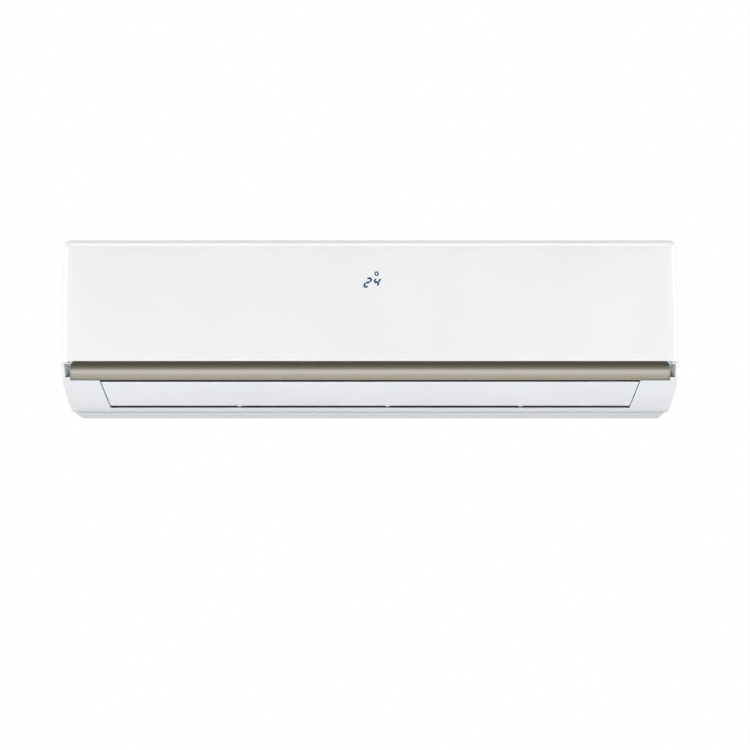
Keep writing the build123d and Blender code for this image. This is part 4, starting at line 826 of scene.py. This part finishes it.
carrier = bmesh.new()
cove_centre, cove_radius = arc_centre(cove_top, cove_foot, cove_sag)
cove_start = angle_from(cove_centre, cove_foot)
cove_turn = arc_turn(cove_centre, cove_foot, cove_top)
section = [spot(-strip_half, *carrier_rear_top), spot(-strip_half, *carrier_rear_foot)]
for step in range(11):
    angle = cove_start + cove_turn * step / 10
    section.append(spot(
        -strip_half, cove_centre[0] + cove_radius * math.cos(angle),
        cove_centre[1] + cove_radius * math.sin(angle),
    ))
end = carrier.faces.new([bmesh.ops.create_vert(carrier, co=co)["vert"][0] for co in section])
grown = bmesh.ops.extrude_face_region(carrier, geom=[end])["geom"]
bmesh.ops.translate(carrier, verts=vertices(grown), vec=(2 * strip_half / 1000, 0, 0))
bmesh.ops.recalc_face_normals(carrier, faces=carrier.faces)
open_sides = [face for face in carrier.faces if face.normal.y > 0.9 or face.normal.z > 0.95]
bmesh.ops.delete(carrier, geom=open_sides, context="FACES")
bmesh.ops.solidify(carrier, geom=carrier.faces[:], thickness=panel_wall / 1000)
carrier_mesh = bpy.data.meshes.new("carrier")
carrier.to_mesh(carrier_mesh)
carrier.free()
panel.from_mesh(carrier_mesh)
bpy.data.meshes.remove(carrier_mesh)


def hinge_bar(start, end, radius, sides):
    """A closed round bar along the hinge's line between two places."""
    bar = bmesh.ops.create_cone(
        panel, cap_ends=True, segments=sides, radius1=radius / 1000, radius2=radius / 1000,
        depth=(end - start) / 1000,
    )["verts"]
    laid_along(panel, bar, spot((start + end) / 2, hinge_out, hinge_up))


gaps = [place + side for place in lug_places for side in (-lug_half, lug_half)]
bead_ends = [-bead_half, *gaps, bead_half]
for start, end in zip(bead_ends[::2], bead_ends[1::2]):
    hinge_bar(start, end, bead_core, 24)
for place in lug_places:
    hinge_bar(place - pin_half, place + pin_half, pin_radius, 12)
panel_gloss, shader, point = new_finish(
    "panel_gloss", {"Coat Roughness": 0.08, "Specular IOR Level": 0.35}
)
cloud = point.noise(7.0).rise(0.3, 0.7)
feed(shader, "Base Color", cloud.between((0.765, 0.775, 0.785), (0.785, 0.795, 0.805)))
feed(shader, "Roughness", point.noise(45.0) * 0.06 + 0.26)
feed(shader, "Coat Weight", point.noise(30.0) * 0.10 + 0.25)
dent(shader, point.noise(900.0), 0.000004)
finished("panel_cover", panel, "front_panel", panel_gloss, 40)


# Trim strip: a thin coved profile in bronze metallic lacquer, with rounded upper corners,
# glued into the panel's lower edge in front of the carrier.
strip_low, strip_high = 59.9, 88.4
upper_corner, lower_corner = 9.8, 2.5
strip_bands = 14
strip_stand, strip_wall = 2.1, 1.9
dark_from, dark_to = -74.0, -52.0
strip = upright_sheet(strip_half, strip_low, strip_high)
round_corners(strip, 1, upper_corner, 9)
round_corners(strip, -1, lower_corner, 2)
for step in range(1, strip_bands):
    up = strip_low + (strip_high - strip_low) * step / strip_bands
    cut(strip, spot(0, 0, up), (0, 0, 1))
for v in strip.verts:
    up = height_of(v.co)
    cove = cove_centre[0] - math.sqrt(cove_radius ** 2 - (up - cove_centre[1]) ** 2)
    v.co.y = -(cove + strip_stand) / 1000
face_the_room(strip)
bmesh.ops.solidify(strip, geom=strip.faces[:], thickness=strip_wall / 1000)
bronze, shader, point = new_finish("bronze_lacquer", {"Coat Roughness": 0.12})
sparkle = point.cells(2600.0, out="Color").grey()
# Painted shade: the lacquer's colour darkens towards the strip's top, where the panel's chin
# shades it.
shade = (point.axis("Z") * 1000.0).rise(dark_from, dark_to)
tone = shade.between((0.256, 0.240, 0.198), (0.024, 0.018, 0.010))
feed(shader, "Base Color", (sparkle * 0.14).between(tone, (0.46, 0.43, 0.36)))
feed(shader, "Metallic", sparkle * 0.12 + 0.62)
feed(shader, "Roughness", sparkle * 0.12 + 0.34)
feed(shader, "Coat Weight", point.noise(40.0) * 0.10 + 0.35)
finished("bronze_strip", strip, "trim_strip", bronze)


# Digits: seven-segment lamps that shine through the panel, drawn here as thin slanted
# bars on its face, with the small ring of the degree sign above them.
bar_width, bar_wall = 3.35, 0.1
slant, slant_centre = 0.40, 208.5
ring_radius, ring_band, ring_sides = 3.5, 1.9, 28
ring_along, ring_up = 10.0, 222.2
lamp_stand = 0.12


def bar(shape, start, end):
    """A hexagonal bar between two places on the panel's face, given along and up."""
    run, rise = end[0] - start[0], end[1] - start[1]
    ring = bmesh.ops.create_circle(
        shape, cap_ends=True, segments=6, radius=bar_width / 2
    )["verts"]
    quarter = Matrix.Rotation(math.pi / 2, 3, "Z")
    bmesh.ops.rotate(shape, verts=ring, cent=(0, 0, 0), matrix=quarter)
    for v in ring:
        if abs(v.co.x) > 0.1:
            v.co.x += math.copysign(math.hypot(run, rise) / 2 - bar_width * 0.62, v.co.x)
    turned = Matrix.Rotation(math.atan2(rise, run), 3, "Z")
    bmesh.ops.rotate(shape, verts=ring, cent=(0, 0, 0), matrix=turned)
    bmesh.ops.translate(
        shape, verts=ring, vec=((start[0] + end[0]) / 2, (start[1] + end[1]) / 2, 0)
    )


def digit(shape, left, low, wide, tall, segments):
    """The named bars of one figure: a top, b and c right, d bottom, e and f left, g middle."""
    right, high, middle = left + wide, low + tall, low + tall / 2
    ends = {
        "a": ((left, high), (right, high)), "b": ((right, middle), (right, high)),
        "c": ((right, low), (right, middle)), "d": ((left, low), (right, low)),
        "e": ((left, low), (left, middle)), "f": ((left, middle), (left, high)),
        "g": ((left, middle), (right, middle)),
    }
    for name in segments:
        bar(shape, *ends[name])


lamps = bmesh.new()
digit(lamps, -7.2, 202.2, 7.0, 13.0, "abged")
digit(lamps, 6.0, 203.0, 7.3, 12.0, "fgbc")
for v in lamps.verts:
    v.co.x += (v.co.y - slant_centre) * slant
outer = bmesh.ops.create_circle(
    lamps, cap_ends=True, segments=ring_sides, radius=ring_radius
)["verts"]
bmesh.ops.translate(lamps, verts=outer, vec=(ring_along, ring_up, 0))
disc = next(face for face in outer[0].link_faces if len(face.verts) == ring_sides)
bmesh.ops.inset_region(lamps, faces=[disc], thickness=ring_band, use_boundary=True)
bmesh.ops.delete(lamps, geom=[disc], context="FACES")
for v in lamps.verts:
    along, up = v.co.x, v.co.y
    v.co = spot(along, panel_front(up) + lamp_stand, up)
face_the_room(lamps)
bmesh.ops.solidify(lamps, geom=lamps.faces[:], thickness=bar_wall / 1000)
digit_blue, shader, point = new_finish(
    "digit_blue", {"Roughness": 0.5, "Specular IOR Level": 0.15}
)
cloud = point.noise(900.0)
feed(shader, "Base Color", cloud.between((0.004, 0.046, 0.105), (0.008, 0.062, 0.135)))
digits = object_from(lamps, "lamp_digits", digit_blue)
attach(digits, "panel")
